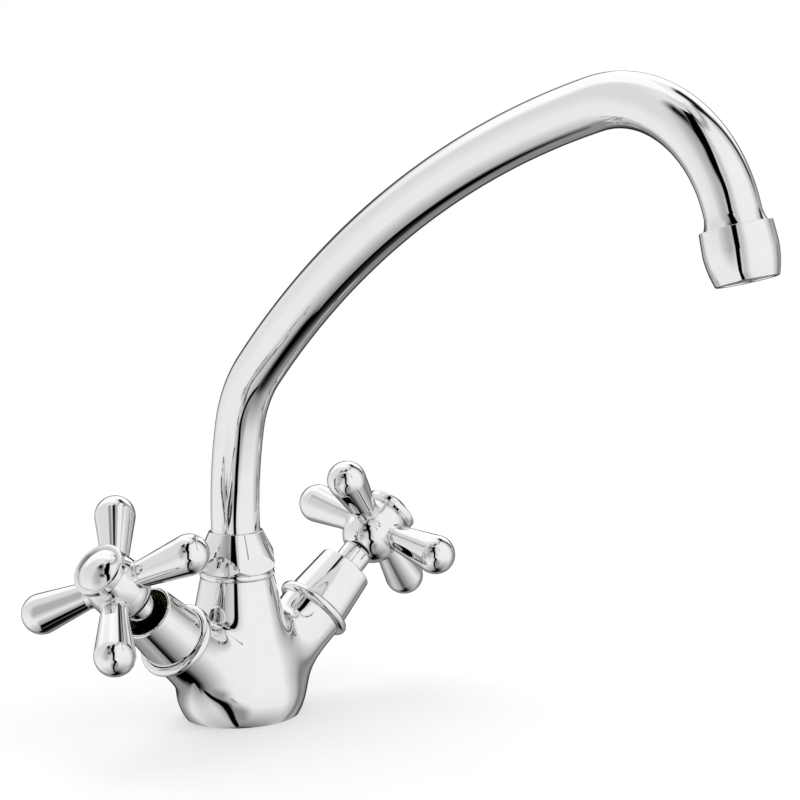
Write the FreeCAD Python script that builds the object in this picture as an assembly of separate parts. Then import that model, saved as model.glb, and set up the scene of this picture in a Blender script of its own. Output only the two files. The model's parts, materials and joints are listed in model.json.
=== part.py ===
import FreeCAD, Part
import math
import os

# Two-handle kitchen sink mixer tap in chromed brass, at its real size in millimetres.
# +Z is up, the origin is the centre of the foot on the sink deck, and the spout at rest points to -Y.
# The hot valve is on the -X arm, as the user sees it from the front, and the cold valve on the +X arm.

Vector = FreeCAD.Vector

# ---- Driving dimensions: body casting ----
FOOT_RADIUS = 19.9            # round foot on the deck
BELLY_RADIUS = 22.6           # widest part of the casting's middle
BELLY_HEIGHT = 12.0           # where the flank's curve runs into the tapered neck
NECK_TOP_RADIUS = 13.6
NECK_HEIGHT = 52.5            # top of the neck, where the nut's collar rests
TURRET_RADIUS = 12.0          # male thread that carries the nut
TURRET_HEIGHT = 7.5
TURRET_BORE_RADIUS = 9.8      # in which the spout's spigot turns
TURRET_BORE_DEPTH = 14.5      # from the neck's top down to the bore's floor
CHAMBER_RADIUS = 7.0          # mixing chamber below the spigot
CHAMBER_DEPTH = 8.0

# ---- Driving dimensions: arms ----
ARM_RISE_ANGLE = 41.0         # above the deck
ARM_LEAN_ANGLE = 7.2          # each arm leans forward in plan
ARM_ORIGIN_HEIGHT = 5.2       # where the arm axes meet the tap's axis
ARM_LENGTH = 45.2             # from that point to the arm's end face
ARM_END_RADIUS = 12.6
ARM_ROOT_RADIUS = 11.2
ARM_BLEND_RADIUS = 6.0        # cast fillet between arm and middle
BEAD_RADIUS = 14.7            # half-round bead round the arm's end
BEAD_WIDTH = 3.8
ARM_THREAD_RADIUS = 10.15     # tapped for the headwork
ARM_THREAD_DEPTH = 11.8
VALVE_CAVITY_RADIUS = 9.3
VALVE_SEAT_DEPTH = 16.4       # from the arm's end face down to the valve seat
PORT_RADIUS = 4.5             # feed port through the seat
PORT_DEPTH = 17.5
OUTLET_CHANNEL_RADIUS = 3.0   # from the valve to the mixing chamber

# ---- Driving dimensions: underside ----
INLET_THREAD_RADIUS = 4.5     # tapping for an M10 x 1 supply hose
INLET_THREAD_DEPTH = 10.0
INLET_SPACING = 17.0
INLET_FORWARD = 3.5
INLET_CHANNEL_RADIUS = 3.2
INLET_CHANNEL_TOP = 17.0
STUD_RADIUS = 3.4             # tapping for an M8 fixing stud
STUD_DEPTH = 12.0
STUD_BACK = 10.5
SEAL_INNER_RADIUS = 16.3
SEAL_OUTER_RADIUS = 18.3
SEAL_THICKNESS = 1.8

# ---- Driving dimensions: spout nut ----
NUT_ACROSS_FLATS = 27.0
NUT_COLLAR_RADIUS = 14.2
NUT_COLLAR_HEIGHT = 2.2
NUT_HEIGHT = 17.1
NUT_RIM_RADIUS = 9.9
NUT_CORNER_HEIGHT = 5.4       # height of the hexagon's corners above the neck
NUT_CHAMFER = 0.8
NUT_TURN_ANGLE = 53.0         # how far the hexagon stands turned about the tap's axis
NUT_ROOF = 6.2                # thickness of the nut's top

# ---- Driving dimensions: spout ----
TUBE_RADIUS = 9.0
TUBE_WALL = 1.0
TUBE_SOCKET_DEPTH = 5.3       # how far the tube is brazed into the spigot
RISE_ABOVE_NUT = 2.8          # straight tube above the nut, before the first bend
BEND_RADII = (163.0, 47.0, 350.0, 45.2)
BEND_ANGLES = (13.0, 43.1, 74.8, 164.8)   # slope from upright at the end of each bend
TUBE_END_LENGTH = 4.5
SPIGOT_BORE_RADIUS = 7.0
SPIGOT_COLLAR_RADIUS = 11.3
SPIGOT_COLLAR_HEIGHT = 1.8
GROOVE_RADIUS = 8.35
GROOVE_WIDTH = 2.0
GROOVE_HEIGHTS = (3.0, 9.0)   # above the spigot's lower end
O_RING_SECTION_RADIUS = 0.7
THRUST_WASHER_THICKNESS = 1.1
SLIP_RING_THICKNESS = 1.0

# ---- Driving dimensions: aerator ----
AERATOR_LENGTH = 17.1
AERATOR_TOP_RADIUS = 11.5
AERATOR_WAIST_RADIUS = 11.85
AERATOR_WAIST_DEPTH = 7.4
AERATOR_MOUTH_RADIUS = 10.0
AERATOR_LIP_RADIUS = 8.4
AERATOR_LIP_THICKNESS = 1.0
NIPPLE_RADIUS = 10.1
NIPPLE_ABOVE = 4.0
NIPPLE_BELOW = 6.0
NIPPLE_WALL = 2.1
AERATOR_WASHER_THICKNESS = 2.0
INSERT_RADIUS = 9.2
GRILLE_THICKNESS = 2.4
GRILLE_CELL_RADIUS = 1.25
GRILLE_CELL_PITCH = 2.9
GRILLE_CELL_TURN = 30.0       # puts the cells' flats side by side

# ---- Driving dimensions: headwork, measured along the arm's axis ----
HEADWORK_COLLAR_HEIGHT = 2.0
HEADWORK_HEX_ACROSS_FLATS = 15.0
HEADWORK_HEX_HEIGHT = 6.7
GLAND_RADIUS = 6.5
GLAND_HEIGHT = 4.6
CAGE_RADIUS = 8.8
CAGE_BORE_RADIUS = 7.0
CAGE_BORE_TOP = 7.25          # depth of the cage's ceiling below the arm's end face
CAGE_MOUTH = 15.3             # depth of the cage's open end
CAGE_PORT_WIDTH = 6.0
SEAT_SEAL_THICKNESS = 2.3
SEAT_SEAL_BORE = 4.6
DISC_RADIUS = 6.7
FIXED_DISC_THICKNESS = 2.2
DRIVEN_DISC_THICKNESS = 2.1
DISC_SLOT_RADIUS = 1.6
DISC_SLOT_OFFSET = 3.6
SPINDLE_RADIUS = 4.0
SPINDLE_FOOT_RADIUS = 6.8
SPINDLE_TOP = 32.7            # above the arm's end face
SPLINE_COUNT = 20
SPLINE_DEPTH = 0.45
SPLINE_LENGTH = 12.5
CLIP_OUTER_RADIUS = 5.6
CLIP_THICKNESS = 0.8
CLIP_GROOVE_DEPTH = 0.7
CLIP_OPENING = 4.0

# ---- Driving dimensions: shroud ----
SHROUD_FOOT_RADIUS = 12.4
SHROUD_MOUTH_RADIUS = 10.5
SHROUD_LENGTH = 20.6
SHROUD_WALL = 1.2
SHROUD_EDGE_RADIUS = 1.0

# ---- Driving dimensions: cross handle, measured along the arm's axis from its end face ----
HANDLE_NECK_RADIUS = 5.9
HANDLE_NECK_START = 15.0
HUB_START = 28.4
HUB_BACK_RADIUS = 6.6
HUB_BACK_CURVE = (9.5, 32.4)  # radius and position halfway along the curve to the belly
HUB_BELLY_RADIUS = 10.4
HUB_BELLY_POSITION = 37.6
HUB_FRONT_CURVE = (10.1, 42.6)
HUB_FRONT_RADIUS = 8.9
HUB_FRONT = 47.7
HANDLE_SCREW_SEAT = 39.5
HUB_COUNTERBORE_RADIUS = 6.6
SCREW_HEAD_RADIUS = 4.4
SCREW_HEAD_HEIGHT = 2.8
SCREW_SHANK_RADIUS = 2.45
SCREW_LENGTH = 16.0
SCREW_SLOT_WIDTH = 1.2
SPOKE_POSITION = 40.1
SPOKE_COUNT = 4
SPOKE_ROOT_RADIUS = 4.9
SPOKE_ROOT_DISTANCE = 9.5
SPOKE_BULB_RADIUS = 7.4
SPOKE_BULB_DISTANCE = 30.8
SPOKE_STUD_RADIUS = 3.0
SPOKE_STUD_DEPTH = 7.2        # distance of the stud's end from the handle's axis
HOT_TURN_ANGLE = 30.5         # how the crosses stand when shut
COLD_TURN_ANGLE = 16.2
CAP_RADIUS = 10.1
CAP_THICKNESS = 3.6
CAP_RIM_WIDTH = 1.7
CAP_RECESS = 0.7
CAP_DOME = 3.8                # the disc stands out as a rounded button
CAP_PLUG_RADIUS = 6.5
CAP_PLUG_LENGTH = 3.0

# ---- Clearances ----
RUNNING = 0.05                # radial, between turning parts
SEATED = 0.1                  # between parts that are pushed or screwed together
FREE = 0.3


def profile_solid(start, *steps):
    """A solid of revolution about Z: each step is an end point (r, z), or an arc's middle and end."""
    edges = []
    here = Vector(start[0], 0, start[1])
    first = here
    for step in steps:
        if isinstance(step[0], tuple):
            middle, end = (Vector(r, 0, z) for r, z in step)
            edges.append(Part.Arc(here, middle, end).toShape())
        else:
            end = Vector(step[0], 0, step[1])
            edges.append(Part.LineSegment(here, end).toShape())
        here = end
    edges.append(Part.LineSegment(here, first).toShape())
    face = Part.Face(Part.Wire(edges))
    return face.revolve(Vector(0, 0, 0), Vector(0, 0, 1), 360)


def dome_arc(radius, base, rise):
    """A profile step that runs in from a rim to the axis along a shallow spherical dome."""
    sphere = (radius ** 2 + rise ** 2) / (2 * rise)
    half_angle = math.asin(radius / sphere) / 2
    centre = base + rise - sphere
    middle = (sphere * math.sin(half_angle), centre + sphere * math.cos(half_angle))
    return middle, (0, base + rise)


def disc(radius, bottom, top):
    """A cylinder about Z between two heights."""
    return Part.makeCylinder(radius, top - bottom, Vector(0, 0, bottom))


def ring(inner, outer, bottom, top):
    """A flat ring about Z between two heights."""
    return disc(outer, bottom, top).cut(disc(inner, bottom, top))


def hexagon(across_flats, bottom, top, turn=0.0):
    """A hexagonal prism about Z."""
    corner = across_flats / math.sqrt(3)
    angles = [math.radians(turn + 60 * index) for index in range(7)]
    points = [Vector(corner * math.cos(a), corner * math.sin(a), bottom) for a in angles]
    return Part.Face(Part.makePolygon(points)).extrude(Vector(0, 0, top - bottom))


def arm_frame(side):
    """Placement of a valve: Z runs out along the arm from its end face, X is level. side is -1 hot, +1 cold."""
    rise = math.radians(ARM_RISE_ANGLE)
    lean = math.radians(ARM_LEAN_ANGLE)
    level = math.cos(rise)
    axis = Vector(side * level * math.cos(lean), -level * math.sin(lean), math.sin(rise))
    across = Vector(0, 0, 1).cross(axis).normalize()
    end = Vector(0, 0, ARM_ORIGIN_HEIGHT) + axis * ARM_LENGTH
    return FreeCAD.Placement(end, FreeCAD.Rotation(across, axis.cross(across), axis, "ZXY"))


def placed(shape, placement):
    """The shape moved by a placement."""
    return shape.transformed(placement.toMatrix())


# ---- Body casting ----

def casting_middle():
    """The turned middle of the casting: foot, belly, tapered neck and threaded turret."""
    turret_top = NECK_HEIGHT + TURRET_HEIGHT
    taper = math.atan((BELLY_RADIUS - NECK_TOP_RADIUS) / (NECK_HEIGHT - BELLY_HEIGHT))
    inset = BELLY_RADIUS - FOOT_RADIUS
    chord_squared = inset ** 2 + BELLY_HEIGHT ** 2
    flank = chord_squared / (2 * (inset * math.cos(taper) + BELLY_HEIGHT * math.sin(taper)))
    centre_r = BELLY_RADIUS - flank * math.cos(taper)
    centre_z = BELLY_HEIGHT - flank * math.sin(taper)
    return profile_solid(
        (0, 0),
        (FOOT_RADIUS, 0),
        ((centre_r + flank, centre_z), (BELLY_RADIUS, BELLY_HEIGHT)),
        (NECK_TOP_RADIUS, NECK_HEIGHT),
        (TURRET_RADIUS, NECK_HEIGHT),
        (TURRET_RADIUS, turret_top),
        (0, turret_top),
    )


def casting_arm():
    """One arm in its own frame, from the tap's axis to the end face."""
    return Part.makeCone(ARM_ROOT_RADIUS, ARM_END_RADIUS, ARM_LENGTH, Vector(0, 0, -ARM_LENGTH))


def arm_bead():
    """The half-round bead at the arm's end, with the recess that locates the shroud."""
    half = BEAD_WIDTH / 2
    recess = SHROUD_FOOT_RADIUS + SEATED
    crown = BEAD_RADIUS
    flank = BEAD_RADIUS - half
    return profile_solid(
        (ARM_THREAD_RADIUS, -half),
        (flank, -half),
        ((crown, 0), (flank, half)),
        (recess, half),
        (recess, 0),
        (ARM_THREAD_RADIUS, 0),
    )


def arm_waterways():
    """What is bored out of one arm: headwork thread, valve cavity and feed port."""
    thread = disc(ARM_THREAD_RADIUS, -ARM_THREAD_DEPTH, BEAD_WIDTH)
    cavity = disc(VALVE_CAVITY_RADIUS, -VALVE_SEAT_DEPTH, 0)
    port = disc(PORT_RADIUS, -VALVE_SEAT_DEPTH - PORT_DEPTH, 0)
    return thread.fuse([cavity, port])


def turret_bore_floor():
    """Height of the turret bore's floor, on which the spout's thrust washer lies."""
    return NECK_HEIGHT - TURRET_BORE_DEPTH


def chamber_floor():
    """Height of the mixing chamber's floor."""
    return turret_bore_floor() - CHAMBER_DEPTH


def outlet_channel(frame):
    """The slanting channel from one valve cavity up to the mixing chamber."""
    start = frame.multVec(Vector(0, 0, -(VALVE_SEAT_DEPTH + ARM_THREAD_DEPTH) / 2))
    end = Vector(0, 0, chamber_floor() + OUTLET_CHANNEL_RADIUS)
    run = end - start
    return Part.makeCylinder(OUTLET_CHANNEL_RADIUS, run.Length, start, run)


def inlet(side):
    """One tapped hose inlet and the channel above it."""
    centre = (side * INLET_SPACING / 2, -INLET_FORWARD)
    thread = Part.makeCylinder(INLET_THREAD_RADIUS, INLET_THREAD_DEPTH, Vector(*centre, 0))
    channel = Part.makeCylinder(INLET_CHANNEL_RADIUS, INLET_CHANNEL_TOP, Vector(*centre, 0))
    return thread.fuse(channel)


def body_casting():
    """The whole casting: middle and arms blended together, then bored for water and fixings."""
    middle = casting_middle()
    arms = [placed(casting_arm(), arm_frame(side)) for side in (-1, 1)]
    inside = disc(FOOT_RADIUS * 3, -FOOT_RADIUS * 2, 0)
    blank = middle.fuse(arms).cut(inside).removeSplitter()
    seams = [edge for edge in blank.Edges if isinstance(edge.Curve, Part.BSplineCurve)]
    blended = blank.makeFillet(ARM_BLEND_RADIUS, seams)
    beads = [placed(arm_bead(), arm_frame(side)) for side in (-1, 1)]
    blended = blended.fuse(beads).removeSplitter()
    tools = [
        disc(TURRET_BORE_RADIUS, turret_bore_floor(), NECK_HEIGHT + TURRET_HEIGHT),
        disc(CHAMBER_RADIUS, chamber_floor(), turret_bore_floor()),
        Part.makeCylinder(STUD_RADIUS, STUD_DEPTH, Vector(0, STUD_BACK, 0)),
        ring(SEAL_INNER_RADIUS, SEAL_OUTER_RADIUS, 0, SEAL_THICKNESS),
    ]
    for side in (-1, 1):
        frame = arm_frame(side)
        tools += [placed(arm_waterways(), frame), outlet_channel(frame), inlet(side)]
    return blended.cut(tools)


def base_seal():
    """The flat rubber ring in the groove under the foot."""
    return ring(SEAL_INNER_RADIUS + SEATED / 2, SEAL_OUTER_RADIUS - SEATED / 2, 0, SEAL_THICKNESS)


# ---- Spout nut and what it traps ----

def nut_underside():
    """Height of the inside of the nut's roof."""
    return NECK_HEIGHT + NUT_HEIGHT - NUT_ROOF


def spout_nut():
    """The conical hexagon nut with its round collar, threaded over the turret."""
    corner = NUT_ACROSS_FLATS / math.sqrt(3)
    top = NECK_HEIGHT + NUT_HEIGHT
    collar_top = NECK_HEIGHT + NUT_COLLAR_HEIGHT
    prism = hexagon(NUT_ACROSS_FLATS, collar_top, top, NUT_TURN_ANGLE)
    envelope = profile_solid(
        (0, collar_top),
        (corner - NUT_CHAMFER, collar_top),
        (corner, collar_top + NUT_CHAMFER),
        (corner, NECK_HEIGHT + NUT_CORNER_HEIGHT),
        (NUT_RIM_RADIUS, top),
        (0, top),
    )
    collar = profile_solid(
        (0, NECK_HEIGHT),
        (NUT_COLLAR_RADIUS - 0.3, NECK_HEIGHT),
        ((NUT_COLLAR_RADIUS, NECK_HEIGHT + NUT_COLLAR_HEIGHT / 2), (NUT_COLLAR_RADIUS - 0.3, collar_top)),
        (0, collar_top),
    )
    blank = prism.common(envelope).fuse(collar)
    thread = disc(TURRET_RADIUS + RUNNING, NECK_HEIGHT, nut_underside())
    tube_hole = disc(TUBE_RADIUS + FREE, nut_underside(), top)
    return blank.cut([thread, tube_hole])


def slip_ring():
    """The plastic ring between the spigot's collar and the nut's roof."""
    top = nut_underside()
    return ring(TUBE_RADIUS + 2 * FREE, SPIGOT_COLLAR_RADIUS + FREE, top - SLIP_RING_THICKNESS, top)


def thrust_washer():
    """The plastic washer on the turret's floor that the spigot stands on."""
    bottom = turret_bore_floor()
    top = bottom + THRUST_WASHER_THICKNESS
    return ring(CHAMBER_RADIUS + FREE, TURRET_BORE_RADIUS - SEATED, bottom, top)


# ---- Spout ----

def spout_route():
    """Edges of the tube's centre line in the YZ plane, its end point and its end direction."""
    here = Vector(0, 0, tube_foot())
    rise_end = Vector(0, 0, NECK_HEIGHT + NUT_HEIGHT + RISE_ABOVE_NUT)
    edges = [Part.LineSegment(here, rise_end).toShape()]
    here = rise_end
    slope = 0.0
    for radius, degrees in zip(BEND_RADII, BEND_ANGLES):
        end_slope = math.radians(degrees)
        middle = arc_point(here, slope, (slope + end_slope) / 2, radius)
        end = arc_point(here, slope, end_slope, radius)
        edges.append(Part.Arc(here, middle, end).toShape())
        here = end
        slope = end_slope
    direction = Vector(0, -math.sin(slope), math.cos(slope))
    end = here + direction * TUBE_END_LENGTH
    edges.append(Part.LineSegment(here, end).toShape())
    return edges, end, direction


def arc_point(start, slope, later_slope, radius):
    """The point reached from start by bending forward from one slope to a later one."""
    reach = radius * (math.cos(slope) - math.cos(later_slope))
    rise = radius * (math.sin(later_slope) - math.sin(slope))
    return start + Vector(0, -reach, rise)


def sweep_round(edges, radius):
    """A round rod along the route."""
    section = Part.Wire(Part.makeCircle(radius, edges[0].Vertexes[0].Point, Vector(0, 0, 1)))
    return Part.Wire(edges).makePipeShell([section], True, False)


def spout_tube():
    """The bent tube from the spigot to the aerator."""
    edges, end, direction = spout_route()
    return sweep_round(edges, TUBE_RADIUS).cut(sweep_round(edges, TUBE_RADIUS - TUBE_WALL))


def spigot_foot():
    """Height of the spigot's lower end."""
    return turret_bore_floor() + THRUST_WASHER_THICKNESS + SEATED


def spigot_top():
    """Height of the spigot's upper end, under the slip ring."""
    return nut_underside() - SLIP_RING_THICKNESS - SEATED


def tube_foot():
    """Height of the tube's lower end, brazed into the spigot."""
    return spigot_top() - TUBE_SOCKET_DEPTH


def groove_bottoms():
    """Heights of the lower edges of the two seal grooves."""
    return [spigot_foot() + height for height in GROOVE_HEIGHTS]


def spout_spigot():
    """The turned brass end of the spout: two seal grooves, a collar and the socket for the tube."""
    bottom = spigot_foot()
    top = spigot_top()
    outer = TURRET_BORE_RADIUS - RUNNING
    blank = disc(outer, bottom, top)
    collar = disc(SPIGOT_COLLAR_RADIUS, top - SPIGOT_COLLAR_HEIGHT, top)
    tools = [disc(SPIGOT_BORE_RADIUS, bottom, top), disc(TUBE_RADIUS, tube_foot(), top)]
    for height in groove_bottoms():
        tools.append(ring(GROOVE_RADIUS, outer + 1, height, height + GROOVE_WIDTH))
    return blank.fuse(collar).cut(tools)


def spout_o_rings():
    """The two seals in the spigot's grooves."""
    centre = GROOVE_RADIUS + O_RING_SECTION_RADIUS
    heights = [bottom + GROOVE_WIDTH / 2 for bottom in groove_bottoms()]
    return Part.Compound([Part.makeTorus(centre, O_RING_SECTION_RADIUS, Vector(0, 0, z)) for z in heights])


# ---- Aerator, built down +Z from the tube's end ----

def aerator_frame():
    """Placement of the aerator: Z leaves the tube along its end direction."""
    edges, end, direction = spout_route()
    across = Vector(1, 0, 0)
    return FreeCAD.Placement(end, FreeCAD.Rotation(across, direction.cross(across), direction, "ZXY"))


def aerator_nipple():
    """The threaded nipple brazed on the tube's end, flared out from the tube."""
    return profile_solid(
        (TUBE_RADIUS, -NIPPLE_ABOVE),
        (TUBE_RADIUS + FREE, -NIPPLE_ABOVE),
        (NIPPLE_RADIUS, -FREE),
        (NIPPLE_RADIUS, NIPPLE_BELOW),
        (NIPPLE_RADIUS - NIPPLE_WALL, NIPPLE_BELOW),
        (NIPPLE_RADIUS - NIPPLE_WALL, 0),
        (TUBE_RADIUS, 0),
    )


def aerator_housing():
    """The barrel-shaped cap that screws over the nipple."""
    thread = NIPPLE_RADIUS + RUNNING
    thread_end = NIPPLE_BELOW + AERATOR_WASHER_THICKNESS + SEATED
    insert = INSERT_RADIUS + SEATED
    lip = AERATOR_LENGTH - AERATOR_LIP_THICKNESS
    flank = (AERATOR_WAIST_RADIUS + AERATOR_MOUTH_RADIUS) / 2 + 0.35
    return profile_solid(
        (thread, 0),
        (AERATOR_TOP_RADIUS, 0),
        (AERATOR_WAIST_RADIUS, AERATOR_WAIST_DEPTH),
        ((flank, (AERATOR_WAIST_DEPTH + AERATOR_LENGTH) / 2), (AERATOR_MOUTH_RADIUS, AERATOR_LENGTH)),
        (AERATOR_LIP_RADIUS, AERATOR_LENGTH),
        (AERATOR_LIP_RADIUS, lip),
        (insert, lip),
        (insert, thread_end),
        (thread, thread_end),
    )


def aerator_washer():
    """The flat rubber washer between nipple and insert."""
    inner = NIPPLE_RADIUS - NIPPLE_WALL
    return ring(inner, NIPPLE_RADIUS - SEATED, NIPPLE_BELOW, NIPPLE_BELOW + AERATOR_WASHER_THICKNESS)


def aerator_insert():
    """The plastic flow straightener: a cup whose floor is a honeycomb grille."""
    top = NIPPLE_BELOW + AERATOR_WASHER_THICKNESS + SEATED
    bottom = AERATOR_LENGTH - AERATOR_LIP_THICKNESS
    cup = disc(INSERT_RADIUS, top, bottom).cut(disc(AERATOR_LIP_RADIUS, top, bottom - GRILLE_THICKNESS))
    cells = []
    for row in range(-2, 3):
        for column in range(-2, 3):
            x = GRILLE_CELL_PITCH * (column + row / 2)
            y = GRILLE_CELL_PITCH * row * math.sqrt(3) / 2
            if math.hypot(x, y) < AERATOR_LIP_RADIUS - GRILLE_CELL_RADIUS:
                cell = hexagon(GRILLE_CELL_RADIUS * 2, top, bottom, GRILLE_CELL_TURN)
                cells.append(cell.translated(Vector(x, y, 0)))
    return cup.cut(cells)


# ---- Headwork, built along Z from the arm's end face ----

def headwork_body():
    """The brass valve insert: cage, thread, collar, hexagon and gland, bored for spindle and discs."""
    hex_start = HEADWORK_COLLAR_HEIGHT
    gland_start = hex_start + HEADWORK_HEX_HEIGHT
    blank = disc(CAGE_RADIUS, -CAGE_MOUTH, -ARM_THREAD_DEPTH + SEATED).fuse([
        disc(ARM_THREAD_RADIUS - RUNNING, -ARM_THREAD_DEPTH + SEATED, 0),
        disc(shroud_inner_radius(hex_start) - SEATED, 0, hex_start),
        hexagon(HEADWORK_HEX_ACROSS_FLATS, hex_start, gland_start),
        disc(GLAND_RADIUS, gland_start, gland_start + GLAND_HEIGHT),
    ])
    port = Part.makeBox(
        CAGE_PORT_WIDTH,
        CAGE_RADIUS * 3,
        CAGE_MOUTH - ARM_THREAD_DEPTH,
        Vector(-CAGE_PORT_WIDTH / 2, -CAGE_RADIUS * 1.5, -CAGE_MOUTH),
    )
    tools = [
        disc(CAGE_BORE_RADIUS, -CAGE_MOUTH, -CAGE_BORE_TOP),
        disc(SPINDLE_RADIUS + RUNNING, -CAGE_BORE_TOP, gland_start + GLAND_HEIGHT),
        port,
    ]
    return blank.cut(tools)


def seat_seal():
    """The rubber ring that seals the fixed disc on the valve seat."""
    bottom = -VALVE_SEAT_DEPTH
    return ring(SEAT_SEAL_BORE, CAGE_BORE_RADIUS - SEATED, bottom, bottom + SEAT_SEAL_THICKNESS)


def slotted_disc(bottom, thickness):
    """A ceramic disc with two round water ways."""
    blank = disc(DISC_RADIUS, bottom, bottom + thickness)
    holes = []
    for side in (-1, 1):
        centre = Vector(side * DISC_SLOT_OFFSET, 0, bottom)
        holes.append(Part.makeCylinder(DISC_SLOT_RADIUS, thickness, centre))
    return blank.cut(holes)


def fixed_disc_bottom():
    """Where the fixed disc rests on the seat seal."""
    return -VALVE_SEAT_DEPTH + SEAT_SEAL_THICKNESS


def driven_disc_bottom():
    """The driven disc's face, a film of grease above the fixed one."""
    return fixed_disc_bottom() + FIXED_DISC_THICKNESS + RUNNING


def fixed_disc():
    """The lower ceramic disc, held still."""
    return slotted_disc(fixed_disc_bottom(), FIXED_DISC_THICKNESS)


def driven_disc():
    """The upper ceramic disc, turned by the spindle."""
    return slotted_disc(driven_disc_bottom(), DRIVEN_DISC_THICKNESS)


def gland_top():
    """Top of the headwork's gland."""
    return HEADWORK_COLLAR_HEIGHT + HEADWORK_HEX_HEIGHT + GLAND_HEIGHT


def spindle():
    """The spindle: foot on the driven disc, plain shank, clip groove, splined top and screw hole."""
    foot_bottom = driven_disc_bottom() + DRIVEN_DISC_THICKNESS
    foot_top = -CAGE_BORE_TOP - RUNNING
    foot = disc(SPINDLE_FOOT_RADIUS, foot_bottom, foot_top)
    shank = disc(SPINDLE_RADIUS, foot_top, SPINDLE_TOP - SPLINE_LENGTH)
    points = []
    for index in range(2 * SPLINE_COUNT + 1):
        radius = SPINDLE_RADIUS - SPLINE_DEPTH * (index % 2)
        angle = math.pi * index / SPLINE_COUNT
        points.append(Vector(radius * math.cos(angle), radius * math.sin(angle), SPINDLE_TOP - SPLINE_LENGTH))
    spline = Part.Face(Part.makePolygon(points)).extrude(Vector(0, 0, SPLINE_LENGTH))
    bottom = gland_top() + RUNNING
    groove = ring(SPINDLE_RADIUS - CLIP_GROOVE_DEPTH, SPINDLE_RADIUS + 1, bottom, bottom + CLIP_THICKNESS)
    screw_hole = disc(SCREW_SHANK_RADIUS + RUNNING, HANDLE_SCREW_SEAT - SCREW_LENGTH - FREE, SPINDLE_TOP)
    return foot.fuse([shank, spline]).cut([groove, screw_hole])


def spindle_clip():
    """The open spring clip that keeps the spindle in the headwork."""
    bottom = gland_top() + RUNNING
    blank = ring(SPINDLE_RADIUS - CLIP_GROOVE_DEPTH, CLIP_OUTER_RADIUS, bottom, bottom + CLIP_THICKNESS)
    corner = Vector(-CLIP_OPENING / 2, 0, bottom)
    gap = Part.makeBox(CLIP_OPENING, CLIP_OUTER_RADIUS * 2, CLIP_THICKNESS, corner)
    return blank.cut(gap)


def shroud_inner_radius(height):
    """Inside radius of the shroud at a height above the arm's end face."""
    slope = (SHROUD_FOOT_RADIUS - SHROUD_MOUTH_RADIUS) / SHROUD_LENGTH
    return SHROUD_FOOT_RADIUS - SHROUD_WALL - slope * height


def shroud():
    """The tapered bell that covers the headwork, with a rounded edge at its mouth."""
    slope = (SHROUD_FOOT_RADIUS - SHROUD_MOUTH_RADIUS) / SHROUD_LENGTH
    edge = SHROUD_EDGE_RADIUS
    edge_start = SHROUD_LENGTH - edge
    outer_at_edge = SHROUD_FOOT_RADIUS - slope * edge_start
    halfway = edge * math.sin(math.radians(45))
    middle = (outer_at_edge - edge + halfway, edge_start + halfway)
    return profile_solid(
        (SHROUD_FOOT_RADIUS - SHROUD_WALL, 0),
        (SHROUD_FOOT_RADIUS, 0),
        (outer_at_edge, edge_start),
        (middle, (outer_at_edge - edge, SHROUD_LENGTH)),
        (SHROUD_MOUTH_RADIUS - SHROUD_WALL, SHROUD_LENGTH),
    )


# ---- Cross handle, built along Z from the arm's end face ----

def hub_outline():
    """The hub's turned outside: neck, bulbous belly and the waist under the cap."""
    return profile_solid(
        (0, HANDLE_NECK_START),
        (HANDLE_NECK_RADIUS, HANDLE_NECK_START),
        (HANDLE_NECK_RADIUS, HUB_START),
        (HUB_BACK_RADIUS, HUB_START),
        (HUB_BACK_CURVE, (HUB_BELLY_RADIUS, HUB_BELLY_POSITION)),
        (HUB_FRONT_CURVE, (HUB_FRONT_RADIUS, HUB_FRONT)),
        (0, HUB_FRONT),
    )


def spoke_directions(turn):
    """Unit vectors of the spokes in the handle's own plane."""
    angles = [math.radians(turn + 360 * index / SPOKE_COUNT) for index in range(SPOKE_COUNT)]
    return [Vector(math.cos(angle), math.sin(angle), 0) for angle in angles]


def spoke_axis(shape, direction):
    """A shape built along Z, laid along a spoke's direction from the handle's axis."""
    placement = FreeCAD.Placement(
        Vector(0, 0, SPOKE_POSITION),
        FreeCAD.Rotation(Vector(0, 0, 1).cross(direction), Vector(0, 0, 1), direction, "ZYX"),
    )
    return placed(shape, placement)


def handle_hub(turn):
    """The hub with its spline bore, screw seat, cap recess and four tapped spoke holes."""
    tools = [
        disc(SPINDLE_RADIUS + SEATED, HANDLE_NECK_START, SPINDLE_TOP + SEATED),
        disc(SCREW_SHANK_RADIUS + SEATED, SPINDLE_TOP, HANDLE_SCREW_SEAT),
        disc(HUB_COUNTERBORE_RADIUS, HANDLE_SCREW_SEAT, HUB_FRONT),
    ]
    hole = disc(SPOKE_STUD_RADIUS, SPOKE_STUD_DEPTH, HUB_BELLY_RADIUS * 1.5)
    tools += [spoke_axis(hole, direction) for direction in spoke_directions(turn)]
    return hub_outline().cut(tools)


def spoke_blank():
    """One teardrop spoke along Z: a cone that runs into a round bulb, and a threaded stud."""
    span = SPOKE_BULB_DISTANCE - SPOKE_ROOT_DISTANCE
    slant = math.asin((SPOKE_BULB_RADIUS - SPOKE_ROOT_RADIUS) / span)
    touch = (SPOKE_BULB_RADIUS * math.cos(slant), SPOKE_BULB_DISTANCE - SPOKE_BULB_RADIUS * math.sin(slant))
    halfway = (math.pi / 2 - slant) / 2
    middle = (SPOKE_BULB_RADIUS * math.cos(halfway), SPOKE_BULB_DISTANCE + SPOKE_BULB_RADIUS * math.sin(halfway))
    tip = (0, SPOKE_BULB_DISTANCE + SPOKE_BULB_RADIUS)
    root = HUB_FRONT_RADIUS - SPOKE_STUD_RADIUS
    return profile_solid((0, root), (SPOKE_ROOT_RADIUS, root), touch, (middle, tip))


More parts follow.
